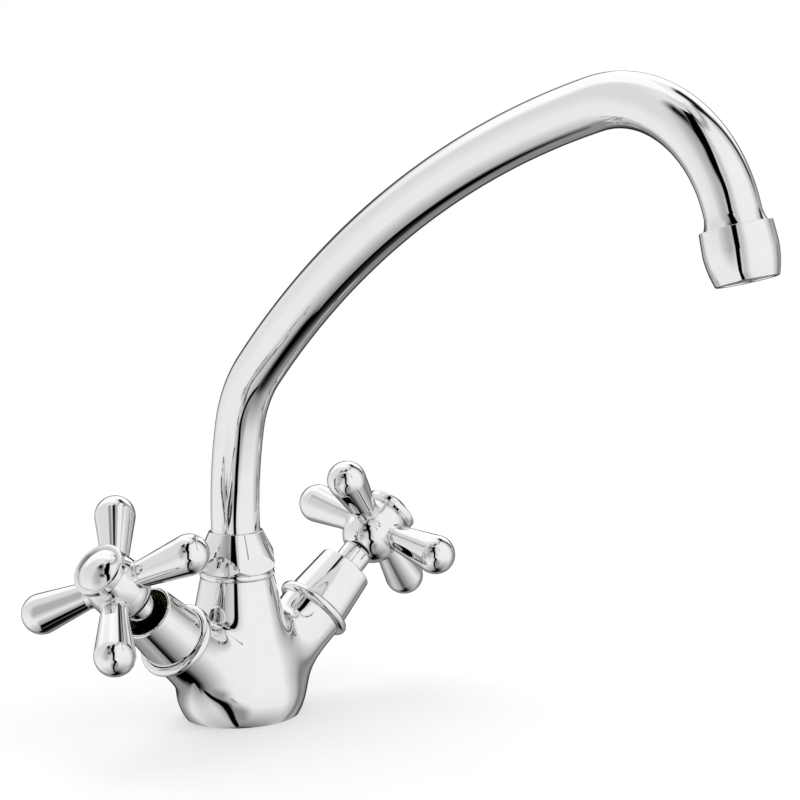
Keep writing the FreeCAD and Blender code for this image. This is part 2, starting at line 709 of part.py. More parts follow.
def spoke(direction):
    """One spoke fitted to the hub's round surface, with its stud in the hub's hole."""
    head = spoke_axis(spoke_blank(), direction).cut(hub_outline())
    stud = spoke_axis(disc(SPOKE_STUD_RADIUS, SPOKE_STUD_DEPTH + SEATED, SPOKE_ROOT_DISTANCE + 3), direction)
    return head.fuse(stud).removeSplitter()


def handle_screw():
    """The slotted screw that pulls the handle on to the spindle."""
    head_top = HANDLE_SCREW_SEAT + SCREW_HEAD_HEIGHT
    head = disc(SCREW_HEAD_RADIUS, HANDLE_SCREW_SEAT, head_top)
    shank = disc(SCREW_SHANK_RADIUS, HANDLE_SCREW_SEAT - SCREW_LENGTH, HANDLE_SCREW_SEAT)
    slot = Part.makeBox(
        SCREW_HEAD_RADIUS * 3,
        SCREW_SLOT_WIDTH,
        SCREW_HEAD_HEIGHT / 2,
        Vector(-SCREW_HEAD_RADIUS * 1.5, -SCREW_SLOT_WIDTH / 2, head_top - SCREW_HEAD_HEIGHT / 2),
    )
    return head.fuse(shank).cut(slot)


def index_cap():
    """The plain index cap: a flat rim round a domed button, with a plug that snaps into the hub."""
    front = HUB_FRONT + CAP_THICKNESS
    face = front - CAP_RECESS
    inner = CAP_RADIUS - CAP_RIM_WIDTH
    plug_end = HUB_FRONT - CAP_PLUG_LENGTH
    return profile_solid(
        (0, plug_end),
        (CAP_PLUG_RADIUS, plug_end),
        (CAP_PLUG_RADIUS, HUB_FRONT),
        (CAP_RADIUS - 0.6, HUB_FRONT),
        (CAP_RADIUS, HUB_FRONT + 1.2),
        (CAP_RADIUS, front - 0.6),
        (CAP_RADIUS - 0.6, front),
        (inner + 0.4, front),
        (inner, face),
        dome_arc(inner, face, CAP_DOME),
    )


def valve_pieces(name, side, turn):
    """All pieces of one valve and handle, placed on their arm."""
    frame = arm_frame(side)
    pieces = {
        "headwork_body": headwork_body(),
        "seat_seal": seat_seal(),
        "fixed_disc": fixed_disc(),
        "driven_disc": driven_disc(),
        "spindle": spindle(),
        "spindle_clip": spindle_clip(),
        "shroud": shroud(),
        "handle_hub": handle_hub(turn),
        "handle_screw": handle_screw(),
        "index_cap": index_cap(),
    }
    for number, direction in enumerate(spoke_directions(turn), start=1):
        pieces[f"spoke_{number}"] = spoke(direction)
    return {f"{name}_{piece}": placed(shape, frame) for piece, shape in pieces.items()}


def all_pieces():
    """Every piece of the tap by its node's name."""
    pieces = {
        "body_casting": body_casting(),
        "base_seal": base_seal(),
        "spout_nut": spout_nut(),
        "slip_ring": slip_ring(),
        "thrust_washer": thrust_washer(),
        "spout_tube": spout_tube(),
        "spout_spigot": spout_spigot(),
        "spout_o_rings": spout_o_rings(),
    }
    outlet = aerator_frame()
    for name, build in (
        ("aerator_nipple", aerator_nipple),
        ("aerator_housing", aerator_housing),
        ("aerator_washer", aerator_washer),
        ("aerator_insert", aerator_insert),
    ):
        pieces[name] = placed(build(), outlet)
    pieces.update(valve_pieces("hot", -1, HOT_TURN_ANGLE))
    pieces.update(valve_pieces("cold", 1, COLD_TURN_ANGLE))
    return pieces


os.makedirs("parts", exist_ok=True)
for node, shape in all_pieces().items():
    shape.exportStep(f"parts/{node}.step")
    print(f"{node}: {len(shape.Solids)} solid, {shape.Volume:.1f} mm3, valid {shape.isValid()}")
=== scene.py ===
"""A two handle kitchen mixer tap in polished chrome, dressed round its packed construction model.

Lengths are in millimetres while a piece is shaped, in the tap's own frame: +Z up, the origin at the
centre of the foot on the deck, the spout to -Y. A finished piece is written in metres with its
object at the origin.
"""

import json
import logging
import math
from dataclasses import dataclass, field
from enum import Enum
from typing import Any, Iterable, Optional, Sequence

import bmesh
import bpy
import numpy as np
from mathutils import Matrix, Vector


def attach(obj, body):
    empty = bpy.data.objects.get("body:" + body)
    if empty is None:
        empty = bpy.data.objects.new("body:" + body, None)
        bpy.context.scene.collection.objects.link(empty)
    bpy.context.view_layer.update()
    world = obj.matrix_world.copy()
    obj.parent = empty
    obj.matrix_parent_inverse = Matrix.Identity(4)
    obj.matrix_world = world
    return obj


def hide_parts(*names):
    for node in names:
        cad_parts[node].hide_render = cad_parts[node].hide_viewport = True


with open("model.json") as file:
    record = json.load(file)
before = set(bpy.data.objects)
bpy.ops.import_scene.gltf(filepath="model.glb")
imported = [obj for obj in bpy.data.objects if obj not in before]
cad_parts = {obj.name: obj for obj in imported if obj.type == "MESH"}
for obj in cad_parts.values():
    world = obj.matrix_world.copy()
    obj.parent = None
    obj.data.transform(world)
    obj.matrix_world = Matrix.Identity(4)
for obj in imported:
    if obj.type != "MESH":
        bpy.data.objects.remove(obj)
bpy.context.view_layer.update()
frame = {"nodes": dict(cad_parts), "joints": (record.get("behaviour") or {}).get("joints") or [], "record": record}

LOG = logging.getLogger("mixer_tap")

MM = 0.001
UP = Vector((0, 0, 1))
SHARP_ANGLE = math.radians(32)

# Vertices nearer than WELD are one, a cut takes in the vertices nearer than CUT_SNAP, and a vertex
# nearer to a plane than ON_PLANE lies on it. TINY keeps a division from meeting zero.
WELD = 1e-5
CUT_SNAP = 1e-4
ON_PLANE = 1e-3
TINY = 1e-6

# Heights that more than one piece is built from: the top of the casting's neck, where the nut
# stands, and the spokes' distance from their arm's end.
NECK_HEIGHT = 52.5
SPOKE_HEIGHT = 40.1

Point = tuple[float, float]
Corner = tuple[float, float, float]
Mesh = bmesh.types.BMesh
Edge = bmesh.types.BMEdge
Face = bmesh.types.BMFace
Tree = bpy.types.NodeTree
Node = bpy.types.Node
Socket = bpy.types.NodeSocket
Piece = bpy.types.Object
PanelEdge = tuple[Socket, float, float, float]


# --------------------------------------------------------------------------------------------------
# Shaping: outlines, the lathe, loops of edges, and the mesh that becomes a piece
# --------------------------------------------------------------------------------------------------


def arc_points(start: Point, middle: Point, end: Point, count: int) -> list[Point]:
    """Points along the circular arc through three points.

    Args:
        start: First point, as radius and height.
        middle: A point on the arc between the two ends.
        end: Last point.
        count: Number of steps.

    Returns:
        The points, both ends included.
    """
    (ax, ay), (bx, by), (cx, cy) = start, middle, end
    double_area = 2 * (ax * (by - cy) + bx * (cy - ay) + cx * (ay - by))
    a2, b2, c2 = ax * ax + ay * ay, bx * bx + by * by, cx * cx + cy * cy
    ox = (a2 * (by - cy) + b2 * (cy - ay) + c2 * (ay - by)) / double_area
    oy = (a2 * (cx - bx) + b2 * (ax - cx) + c2 * (bx - ax)) / double_area
    radius = math.hypot(ax - ox, ay - oy)
    first = math.atan2(ay - oy, ax - ox)
    turn_middle = (math.atan2(by - oy, bx - ox) - first) % (2 * math.pi)
    turn_end = (math.atan2(cy - oy, cx - ox) - first) % (2 * math.pi)
    if turn_middle > turn_end:
        turn_end -= 2 * math.pi
    angles = [first + turn_end * step / count for step in range(count + 1)]
    return [(ox + radius * math.cos(angle), oy + radius * math.sin(angle)) for angle in angles]


def plain(points: Iterable[Point]) -> list[Corner]:
    """The points of a curve as corners that aren't rounded."""
    return [(r, z, 0.0) for r, z in points]


def rounded(
    corners: Sequence[Corner],
    closed: bool,
    steps: int = 7,
    guard: float = 0.12,
    longest: float = 0.48,
) -> list[Point]:
    """An outline whose corners are rounded by arcs, with guard points that keep straight runs true.

    Args:
        corners: Radius, height and edge radius of each corner, in order.
        closed: Whether the last corner joins the first.
        steps: Steps in each rounded corner.
        guard: Distance of the guard points from the ends of a straight run. A run shorter than four
            of them gets none.
        longest: The largest share of a run that one corner may take.

    Returns:
        The outline's points.
    """
    count = len(corners)
    pieces: list[list[Vector]] = []
    for index, (r, z, edge) in enumerate(corners):
        here = Vector((r, z))
        at_end = not closed and index in (0, count - 1)
        if edge <= 0 or at_end:
            pieces.append([here])
            continue
        before = Vector(corners[index - 1][:2]) - here
        after = Vector(corners[(index + 1) % count][:2]) - here
        half = before.angle(after) / 2
        reach = min(edge / math.tan(half), before.length * longest, after.length * longest)
        radius = reach * math.tan(half)
        inward = (before.normalized() + after.normalized()).normalized()
        centre = here + inward * (radius / math.sin(half))
        first = here + before.normalized() * reach - centre
        last = here + after.normalized() * reach - centre
        turn = first.angle_signed(last)
        arc = []
        for step in range(steps + 1):
            angle = -turn * step / steps
            arc.append(centre + Vector((
                first.x * math.cos(angle) - first.y * math.sin(angle),
                first.x * math.sin(angle) + first.y * math.cos(angle),
            )))
        pieces.append(arc)
    points: list[Point] = []
    for index, piece in enumerate(pieces):
        points += [tuple(point) for point in piece]
        if index == count - 1 and not closed:
            break
        start, end = piece[-1], pieces[(index + 1) % count][0]
        run = end - start
        if run.length > 4 * guard:
            shares = (guard / run.length, 1 - guard / run.length)
            points += [tuple(start + run * share) for share in shares]
    return points


@dataclass(frozen=True)
class Lathe:
    """Turns outlines, given as radius and height, about an axis."""

    place: Matrix = field(default_factory=lambda: Matrix.Identity(4))
    steps: int = 128

    def turn(self, mesh: Mesh, outline: Sequence[Point], closed: bool = True) -> None:
        """Adds a turned shell to a mesh.

        Args:
            mesh: The mesh that the shell is added to.
            outline: Points as radius and height; a radius of 0 lies on the axis.
            closed: Whether the outline's last point joins its first.
        """
        verts = [mesh.verts.new((r, 0, z)) for r, z in outline]
        pairs = list(zip(verts, verts[1:]))
        if closed:
            pairs.append((verts[-1], verts[0]))
        edges = [mesh.edges.new(pair) for pair in pairs]
        before = set(mesh.faces)
        bmesh.ops.spin(
            mesh, geom=verts + edges, cent=(0, 0, 0), axis=UP, dvec=(0, 0, 0),
            angle=2 * math.pi, steps=self.steps, use_merge=True, use_duplicate=False,
        )
        shell = [face for face in mesh.faces if face not in before]
        shell_verts = list({vert for face in shell for vert in face.verts})
        bmesh.ops.remove_doubles(mesh, verts=shell_verts, dist=WELD)
        shell = [face for face in mesh.faces if face not in before]
        bmesh.ops.recalc_face_normals(mesh, faces=shell)
        shell_verts = list({vert for face in shell for vert in face.verts})
        bmesh.ops.transform(mesh, matrix=self.place, verts=shell_verts)


def open_circle(mesh: Mesh, radius: float, place: Matrix, steps: int = 96) -> list[Edge]:
    """Adds an open circle and gives its edges, which lie level in the frame of its place."""
    made = bmesh.ops.create_circle(
        mesh, cap_ends=False, radius=radius, segments=steps, matrix=place,
    )
    return list({edge for vert in made["verts"] for edge in vert.link_edges})


def sink_loop(mesh: Mesh, edges: Sequence[Edge], shift: Vector) -> list[Edge]:
    """Extrudes a loop of edges by a shift and gives the loop at the far end.

    Args:
        mesh: The mesh.
        edges: The loop's edges.
        shift: How far and which way it goes.

    Returns:
        The edges at the far end.
    """
    made = bmesh.ops.extrude_edge_only(mesh, edges=list(edges))["geom"]
    verts = [part for part in made if isinstance(part, bmesh.types.BMVert)]
    bmesh.ops.translate(mesh, vec=shift, verts=verts)
    sides = [part for part in made if isinstance(part, Edge)]
    return [edge for edge in sides if all(vert in verts for vert in edge.verts)]


def cut_off(mesh: Mesh, point: Vector, normal: Vector) -> list[Edge]:
    """Cuts off what lies beyond a plane and gives the edges left open there.

    Args:
        mesh: The mesh.
        point: A point of the plane.
        normal: Its normal, towards what is cut off.

    Returns:
        The open edges.
    """
    geometry = mesh.verts[:] + mesh.edges[:] + mesh.faces[:]
    bmesh.ops.bisect_plane(
        mesh, geom=geometry, dist=CUT_SNAP, plane_co=point, plane_no=normal, clear_outer=True,
    )
    return [edge for edge in mesh.edges if edge.is_boundary and lies_on(edge, point, normal)]


def lies_on(edge: Edge, point: Vector, normal: Vector) -> bool:
    """Whether both ends of an edge lie on a plane."""
    return all(abs((vert.co - point).dot(normal)) < ON_PLANE for vert in edge.verts)


def face_along(faces: Iterable[Face], normal: Vector) -> None:
    """Turns faces over where they don't face along a normal.

    Args:
        faces: The faces.
        normal: The way that they are to face.
    """
    for face in faces:
        face.normal_update()
        if face.normal.dot(normal) < 0:
            face.normal_flip()


def fill_flat(mesh: Mesh, edges: Iterable[Edge], normal: Vector) -> None:
    """Fills the flat face between loops of edges, facing along a normal."""
    made = bmesh.ops.triangle_fill(mesh, use_beauty=True, edges=list(edges), normal=normal)["geom"]
    face_along((part for part in made if isinstance(part, Face)), normal)


def finished(
    name: str,
    mesh: Mesh,
    body: str,
    finish: "Finish",
    replaces: Sequence[str],
    sharp_angle: float = SHARP_ANGLE,
) -> Piece:
    """Makes a piece from a mesh shaped in millimetres.

    Args:
        name: The piece's name.
        mesh: Its shape, which is freed.
        body: The body of the frame that it rides on.
        finish: Its finish.
        replaces: The frame's nodes that it stands for.
        sharp_angle: Edges sharper than this stay crisp.

    Returns:
        The new object.
    """
    volume = mesh.calc_volume(signed=True)
    if volume < 0:
        bmesh.ops.reverse_faces(mesh, faces=mesh.faces)
    open_edges = sum(not edge.is_manifold for edge in mesh.edges)
    bmesh.ops.scale(mesh, vec=(MM, MM, MM), verts=mesh.verts)
    data = bpy.data.meshes.new(name)
    mesh.to_mesh(data)
    mesh.free()
    data.shade_smooth()
    data.set_sharp_from_angle(angle=sharp_angle)
    piece = bpy.data.objects.new(name, data)
    bpy.context.scene.collection.objects.link(piece)
    data.materials.append(finish.material())
    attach(piece, body)
    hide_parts(*replaces)
    LOG.info(
        "%s: %d faces on %s, %.0f mm3, %d loose edges",
        name, len(data.polygons), body, volume, open_edges,
    )
    return piece


# --------------------------------------------------------------------------------------------------
# Finishes
# --------------------------------------------------------------------------------------------------


def linear(hex_colour: str) -> tuple[float, float, float, float]:
    """Turns an sRGB hex colour to a linear one.

    Args:
        hex_colour: The colour, such as #A0B0C0.

    Returns:
        Its linear red, green and blue, with full alpha.
    """
    shares = [int(hex_colour[index:index + 2], 16) / 255 for index in (1, 3, 5)]
    parts = [
        share / 12.92 if share <= 0.04045 else ((share + 0.055) / 1.055) ** 2.4 for share in shares
    ]
    return (parts[0], parts[1], parts[2], 1.0)


def per_metre(size_mm: float) -> float:
    """A texture scale at which one repeat measures size_mm."""
    return 1000.0 / size_mm


def feed(tree: Tree, node: Node, inputs: dict[Any, Any]) -> None:
    """Sets a node's inputs to values, or links them from other nodes' sockets.

    Args:
        tree: The node tree.
        node: The node.
        inputs: Socket names or indices with a value or an output socket each.
    """
    for name, value in inputs.items():
        if isinstance(value, Socket):
            tree.links.new(value, node.inputs[name])
        else:
            node.inputs[name].default_value = value


def add_node(
    tree: Tree,
    kind: str,
    settings: Optional[dict[str, Any]] = None,
    inputs: Optional[dict[Any, Any]] = None,
) -> Node:
    """Adds a node with its settings and its links.

    Args:
        tree: The node tree.
        kind: The node's type name.
        settings: Attributes of the node.
        inputs: Socket names or indices with a value or an output socket each.

    Returns:
        The node.
    """
    node = tree.nodes.new(kind)
    for name, value in (settings or {}).items():
        setattr(node, name, value)
    feed(tree, node, inputs or {})
    return node


def new_tree(material: bpy.types.Material) -> tuple[Tree, Node]:
    """Clears a material's nodes and gives it a Principled shader.

    Args:
        material: The material.

    Returns:
        The node tree and its shader node.
    """
    material.use_nodes = True
    tree = material.node_tree
    tree.nodes.clear()
    shader = add_node(tree, "ShaderNodeBsdfPrincipled")
    add_node(tree, "ShaderNodeOutputMaterial", inputs={"Surface": shader.outputs["BSDF"]})
    return tree, shader


@dataclass(frozen=True)
class Patches:
    """Soft patches of colour: two tones, the patches' size and how finely they break up."""

    first: str
    second: str
    size: float
    detail: float = 4.0
    roughness: float = 0.5

    def lay(self, tree: Tree, shader: Node) -> tuple[Socket, Socket]:
        """Mixes the two tones into a shader's colour.

        Args:
            tree: The material's node tree.
            shader: Its Principled shader.

        Returns:
            The piece's own coordinates, and the share of the second tone.
        """
        place = add_node(tree, "ShaderNodeTexCoord").outputs["Object"]
        share = add_node(tree, "ShaderNodeTexNoise", inputs={
            "Vector": place, "Scale": per_metre(self.size),
            "Detail": self.detail, "Roughness": self.roughness,
        }).outputs["Fac"]
        # A colour mix takes its share at socket 0 and its colours at 6 and 7, and gives them at 2.
        tint = add_node(tree, "ShaderNodeMix", {"data_type": "RGBA"}, {
            0: share, 6: linear(self.first), 7: linear(self.second),
        }).outputs[2]
        feed(tree, shader, {"Base Color": tint})
        return place, share


@dataclass(frozen=True)
class Finish:
    """A surface finish, which makes its material once."""

    slot: str

    @property
    def name(self) -> str:
        """The material's name."""
        return f"{type(self).__name__.lower()}_finish"

    def material(self) -> bpy.types.Material:
        """The finish's material, made on first use."""
        found = bpy.data.materials.get(self.name)
        if found is None:
            found = bpy.data.materials.new(self.name)
            tree, shader = new_tree(found)
            self.build(tree, shader)
        return found

    def build(self, tree: Tree, shader: Node) -> None:
        """Sets the shader and adds the nodes that vary it.

        Args:
            tree: The material's node tree.
            shader: Its Principled shader.
        """
        raise NotImplementedError


@dataclass(frozen=True)
class PolishedChrome(Finish):
    """Nickel-chrome plate on buffed brass: a mirror with a faint swell and light wiping haze."""

    slot: str = "chromed_brass"
    plate: Patches = Patches("#E7E7E7", "#E0E0E0", size=9.0, roughness=0.6)
    haze_span: tuple[float, float] = (0.35, 0.75)
    mirror_roughness: float = 0.012
    haze_roughness: float = 0.036
    swell_size: float = 14.0
    swell_height: float = 0.0022

    def build(self, tree: Tree, shader: Node) -> None:
        """Wiping haze in the roughness and a very low swell."""
        place, haze = self.plate.lay(tree, shader)
        rough = add_node(tree, "ShaderNodeMapRange", inputs={
            "Value": haze, "From Min": self.haze_span[0], "From Max": self.haze_span[1],
            "To Min": self.mirror_roughness, "To Max": self.haze_roughness,
        }).outputs["Result"]
        swell = add_node(tree, "ShaderNodeTexNoise", inputs={
            "Vector": place, "Scale": per_metre(self.swell_size), "Detail": 0.0,
        }).outputs["Fac"]
        bump = add_node(tree, "ShaderNodeBump", inputs={
            "Height": swell, "Strength": 1.0, "Distance": self.swell_height * MM,
        }).outputs["Normal"]
        feed(tree, shader, {"Roughness": rough, "Normal": bump, "Metallic": 1.0})


@dataclass(frozen=True)
class TurnedBrass(Finish):
    """Turned brass under dark valve grease: brown-black with a dull sheen and fine tool rings."""

    slot: str = "plain_brass"
    tarnish: Patches = Patches("#4E4430", "#15130F", size=3.0, detail=5.0)
    ring_size: float = 0.35
    ring_waver: float = 0.4
    ring_height: float = 0.01
    ring_strength: float = 0.5
    roughness: float = 0.24

    def build(self, tree: Tree, shader: Node) -> None:
        """Tarnish patches in the colour and tool rings in the relief."""
        place = self.tarnish.lay(tree, shader)[0]
        # A wave texture repeats once in 2 pi units.
        rings = add_node(tree, "ShaderNodeTexWave", {"bands_direction": "Z"}, {
            "Vector": place, "Scale": per_metre(self.ring_size) / (2 * math.pi),
            "Distortion": self.ring_waver,
        }).outputs["Fac"]
        bump = add_node(tree, "ShaderNodeBump", inputs={
            "Height": rings, "Strength": self.ring_strength, "Distance": self.ring_height * MM,
        }).outputs["Normal"]
        feed(tree, shader, {"Normal": bump, "Metallic": 1.0, "Roughness": self.roughness})


@dataclass(frozen=True)
class SpringSteel(Finish):
    """Stainless spring steel: cool grey with a fine drawn grain."""

    slot: str = "spring_steel"
    grain: Patches = Patches("#B4B7BB", "#8E9196", size=0.25, detail=3.0)
    smooth_roughness: float = 0.22
    grain_roughness: float = 0.38

    def build(self, tree: Tree, shader: Node) -> None:
        """Drawn grain in colour and roughness."""
        grain = self.grain.lay(tree, shader)[1]
        rough = add_node(tree, "ShaderNodeMapRange", inputs={
            "Value": grain, "To Min": self.smooth_roughness, "To Max": self.grain_roughness,
        }).outputs["Result"]
        feed(tree, shader, {"Roughness": rough, "Metallic": 1.0})


@dataclass(frozen=True)
class Moulding(Finish):
    """The parts that aren't metal: a soft mottle in the colour and a fine surface texture."""

    mottle: Patches
    roughness: float
    texture_size: float = 0.3
    texture_detail: float = 2.0
    texture_height: float = 0.01
    texture_strength: float = 0.6

    def build(self, tree: Tree, shader: Node) -> None:
        """Mottled colour and a fine relief."""
        place = self.mottle.lay(tree, shader)[0]
        texture = add_node(tree, "ShaderNodeTexNoise", inputs={
            "Vector": place, "Scale": per_metre(self.texture_size), "Detail": self.texture_detail,
        }).outputs["Fac"]
        bump = add_node(tree, "ShaderNodeBump", inputs={
            "Height": texture, "Strength": self.texture_strength,
            "Distance": self.texture_height * MM,
        }).outputs["Normal"]
        feed(tree, shader, {"Normal": bump, "Roughness": self.roughness})


@dataclass(frozen=True)
class LappedAlumina(Moulding):
    """Lapped alumina ceramic: dense cream white with a satin face."""

    slot: str = "valve_ceramic"
    mottle: Patches = Patches("#F6F2EA", "#E9E2D4", size=2.0)
    roughness: float = 0.18


@dataclass(frozen=True)
class NitrileRubber(Moulding):
    """Moulded nitrile rubber: near black, matt, with a faint bloom."""

    slot: str = "seal_rubber"
    mottle: Patches = Patches("#2A2A2B", "#161617", size=4.0)
    roughness: float = 0.62


@dataclass(frozen=True)
class WhiteAcetal(Moulding):
    """Moulded natural acetal: milky white and slightly waxy."""

    slot: str = "white_plastic"
    mottle: Patches = Patches("#F2F1EB", "#E2E0D8", size=2.0)
    roughness: float = 0.34


@dataclass(frozen=True)
class GreyAcetal(Moulding):
    """Moulded acetal of the flow straightener: light grey and slightly waxy."""

    slot: str = "grey_plastic"
    mottle: Patches = Patches("#B9BDC1", "#9DA2A7", size=2.0)
    roughness: float = 0.36


class FinishKind(Enum):
    """The tap's finishes."""

    CHROME = PolishedChrome()
    BRASS = TurnedBrass()
    STEEL = SpringSteel()
    CERAMIC = LappedAlumina()
    RUBBER = NitrileRubber()
    WHITE_PLASTIC = WhiteAcetal()
    GREY_PLASTIC = GreyAcetal()


# --------------------------------------------------------------------------------------------------
# Body casting
# --------------------------------------------------------------------------------------------------


class Side(Enum):
    """The two valves, and which way each lies from the tap's axis."""

    HOT = -1
    COLD = 1

    def named(self, part: str) -> str:
        """The name of one of this side's nodes, bodies or joints."""
        return f"{self.name.lower()}_{part}"


@dataclass(frozen=True)
class ArmAxes:
    """Where one arm and its handle lie, read from the frame's valve joint."""

    side: Side

    @property
    def joint(self) -> dict[str, Any]:
        """The frame's joint of this valve."""
        name = self.side.named("valve_turn")
        return next(joint for joint in frame["joints"] if joint["name"] == name)

    @property
    def axis(self) -> Vector:
        """Unit vector out along the arm."""
        return Vector(self.joint["axis"]).normalized()

    @property
    def end(self) -> Vector:
        """Centre of the arm's end face, in millimetres."""
        return Vector(self.joint["pos_m"]) / MM - self.axis * SPOKE_HEIGHT

    @property
    def place(self) -> Matrix:
        """The arm's frame at its end face.

        Returns:
            A frame with Z out along the arm and X level.
        """
        across = UP.cross(self.axis).normalized()
        third = self.axis.cross(across)
        turn = Matrix((across, third, self.axis)).transposed().to_4x4()
        return Matrix.Translation(self.end) @ turn


@dataclass
class BodyCasting:
    """The casting: a bellied foot that tapers to the neck, with two arms that grow out of it.

    The skin comes from a signed distance, in which the arms join the middle by a cubic smooth
    minimum. A voxel union of the plain shapes gives its points, which are drawn on to it.
    """

    foot_radius: float = 19.9
    belly_radius: float = 22.6
    belly_height: float = 12.0
    belly_share: float = 0.95
    neck_radius: float = 13.6
    neck_height: float = NECK_HEIGHT
    turret_radius: float = 12.0
    turret_height: float = 7.5
    turret_bore: float = 9.8
    turret_bore_depth: float = 14.5
    chamber_radius: float = 7.0
    chamber_depth: float = 8.0
    arm_root_radius: float = 11.2
    arm_end_radius: float = 12.6
    arm_length: float = 45.2
    thread_radius: float = 10.15
    thread_depth: float = 11.8
    cavity_radius: float = 9.3
    cavity_depth: float = 16.4
    bead_radius: float = 14.7
    bead_width: float = 3.8
    bead_foot: float = 0.6
    recess_radius: float = 12.5
    groove_inner: float = 16.3
    groove_outer: float = 18.3
    groove_depth: float = 1.8
    inlet_radius: float = 4.5
    inlet_depth: float = 10.0
    inlet_spacing: float = 17.0
    inlet_forward: float = 3.5
    stud_radius: float = 3.4
    stud_depth: float = 12.0
    stud_back: float = 10.5
    blend_above: float = 5.0
    blend_front: float = 19.0
    blend_side: float = 0.2
    voxel: float = 0.62
    rough_levels: int = 24
    rough_steps: int = 96
    overrun: float = 2.0
    margin: float = 1.1
    evening_rounds: int = 14
    evening_pull: float = 0.6
    closing_rounds: int = 3

    def flank(self, height: np.ndarray) -> tuple[np.ndarray, np.ndarray]:
        """Radius of the turned middle at each height, and its slope.

        The foot is one arc, which runs into the neck's taper. Past belly_share of the arc's own
        radius both values are held, so that the slope stays finite.

        Args:
            height: Heights above the deck.

        Returns:
            The radii, and how fast they change with height.
        """
        fall = (self.belly_radius - self.neck_radius) / (self.neck_height - self.belly_height)
        taper = math.atan(fall)
        inset = self.belly_radius - self.foot_radius
        chord = inset ** 2 + self.belly_height ** 2
        bend = chord / (2 * (inset * math.cos(taper) + self.belly_height * math.sin(taper)))
        centre_r = self.belly_radius - bend * math.cos(taper)
        centre_z = self.belly_height - bend * math.sin(taper)
        reach = bend * self.belly_share
        low = np.clip(height - centre_z, -reach, reach)
        arc = centre_r + np.sqrt(bend ** 2 - low ** 2)
        arc_slope = -low / np.sqrt(bend ** 2 - low ** 2)
        cone = self.belly_radius - fall * (height - self.belly_height)
        above = height > self.belly_height
        return np.where(above, cone, arc), np.where(above, -fall, arc_slope)

    def arm_distance(self, points: np.ndarray, arm: ArmAxes) -> tuple[np.ndarray, np.ndarray]:
        """Signed distance from one arm's tapered tube.

        Args:
            points: Rows of x, y, z.
            arm: The arm.

        Returns:
            One distance per point, and how squarely each point lies above the arm's axis, from 1
            on top to -1 below.
        """
        growth = (self.arm_end_radius - self.arm_root_radius) / self.arm_length
        axis = np.array(arm.axis)
        root = np.array(arm.end) - axis * self.arm_length
        along = (points - root) @ axis
        offset = points - root - along[:, None] * axis
        aside = np.linalg.norm(offset, axis=1)
        top = np.cross(axis, np.cross(UP, axis))
        upward = (offset @ (top / np.linalg.norm(top))) / np.maximum(aside, TINY)
        reach = np.where(along > 0, aside, np.hypot(aside, along))
        grown = self.arm_root_radius + growth * np.maximum(along, 0)
        return (reach - grown) / math.hypot(1, growth), upward

    def distance(self, points: np.ndarray, arms: Sequence[ArmAxes]) -> np.ndarray:
        """Signed distance from the blended casting's skin.

        Args:
            points: Rows of x, y, z.
            arms: The two arms.

        Returns:
            One distance per point, negative inside.
        """
        radius, slope = self.flank(points[:, 2])
        skin = (np.hypot(points[:, 0], points[:, 1]) - radius) / np.sqrt(1 + slope ** 2)
        for arm in arms:
            tube, upward = self.arm_distance(points, arm)
            share = np.clip((upward - self.blend_side) / (1 - self.blend_side), 0, 1) ** 2
            blend = self.blend_front + (self.blend_above - self.blend_front) * share
            near = np.maximum(blend - np.abs(skin - tube), 0) / blend
            skin = np.minimum(skin, tube) - near ** 3 * blend / 6
        return skin

    def gradient(
        self, points: np.ndarray, arms: Sequence[ArmAxes], step: float = 0.01,
    ) -> np.ndarray:
        """Gradient of the signed distance at each point, by central differences.

        Args:
            points: Rows of x, y, z.
            arms: The two arms.
            step: Half the width of the differences.

        Returns:
            One gradient per point.
        """
        rows = []
        for shift in np.eye(3) * step:
            ahead, behind = self.distance(points + shift, arms), self.distance(points - shift, arms)
            rows.append((ahead - behind) / (2 * step))
        return np.stack(rows, axis=1)

    def rough_union(self, arms: Sequence[ArmAxes]) -> bpy.types.Mesh:
        """The middle and the arms fused to one even mesh, before it is drawn on to the skin.

        Args:
            arms: The two arms.

        Returns:
            The fused mesh.
        """
        mesh = bmesh.new()
        levels = np.linspace(-self.overrun, self.neck_height + self.overrun, self.rough_levels)
        radii = self.flank(levels)[0]
        outline = [(0.0, float(levels[0]))] + [(float(r), float(z)) for r, z in zip(radii, levels)]
        outline.append((0.0, float(levels[-1])))
        Lathe(steps=self.rough_steps).turn(mesh, outline, closed=False)
        for arm in arms:
            length = self.arm_length + self.overrun
            made = bmesh.ops.create_cone(
                mesh, cap_ends=True, segments=self.rough_steps, depth=length,
                radius1=self.arm_root_radius, radius2=self.arm_end_radius,
                matrix=arm.place @ Matrix.Translation((0, 0, self.overrun - length / 2)),
            )
            faces = list({face for vert in made["verts"] for face in vert.link_faces})
            bmesh.ops.recalc_face_normals(mesh, faces=faces)
        data = bpy.data.meshes.new("rough_union")
        mesh.to_mesh(data)
        mesh.free()
        rough = bpy.data.objects.new("rough_union", data)
        bpy.context.scene.collection.objects.link(rough)
        remesh = rough.modifiers.new("fuse", "REMESH")
        remesh.mode = "VOXEL"
        remesh.voxel_size = self.voxel
        evaluated = rough.evaluated_get(bpy.context.evaluated_depsgraph_get())
        fused = bpy.data.meshes.new_from_object(evaluated)
        bpy.data.objects.remove(rough)
        return fused

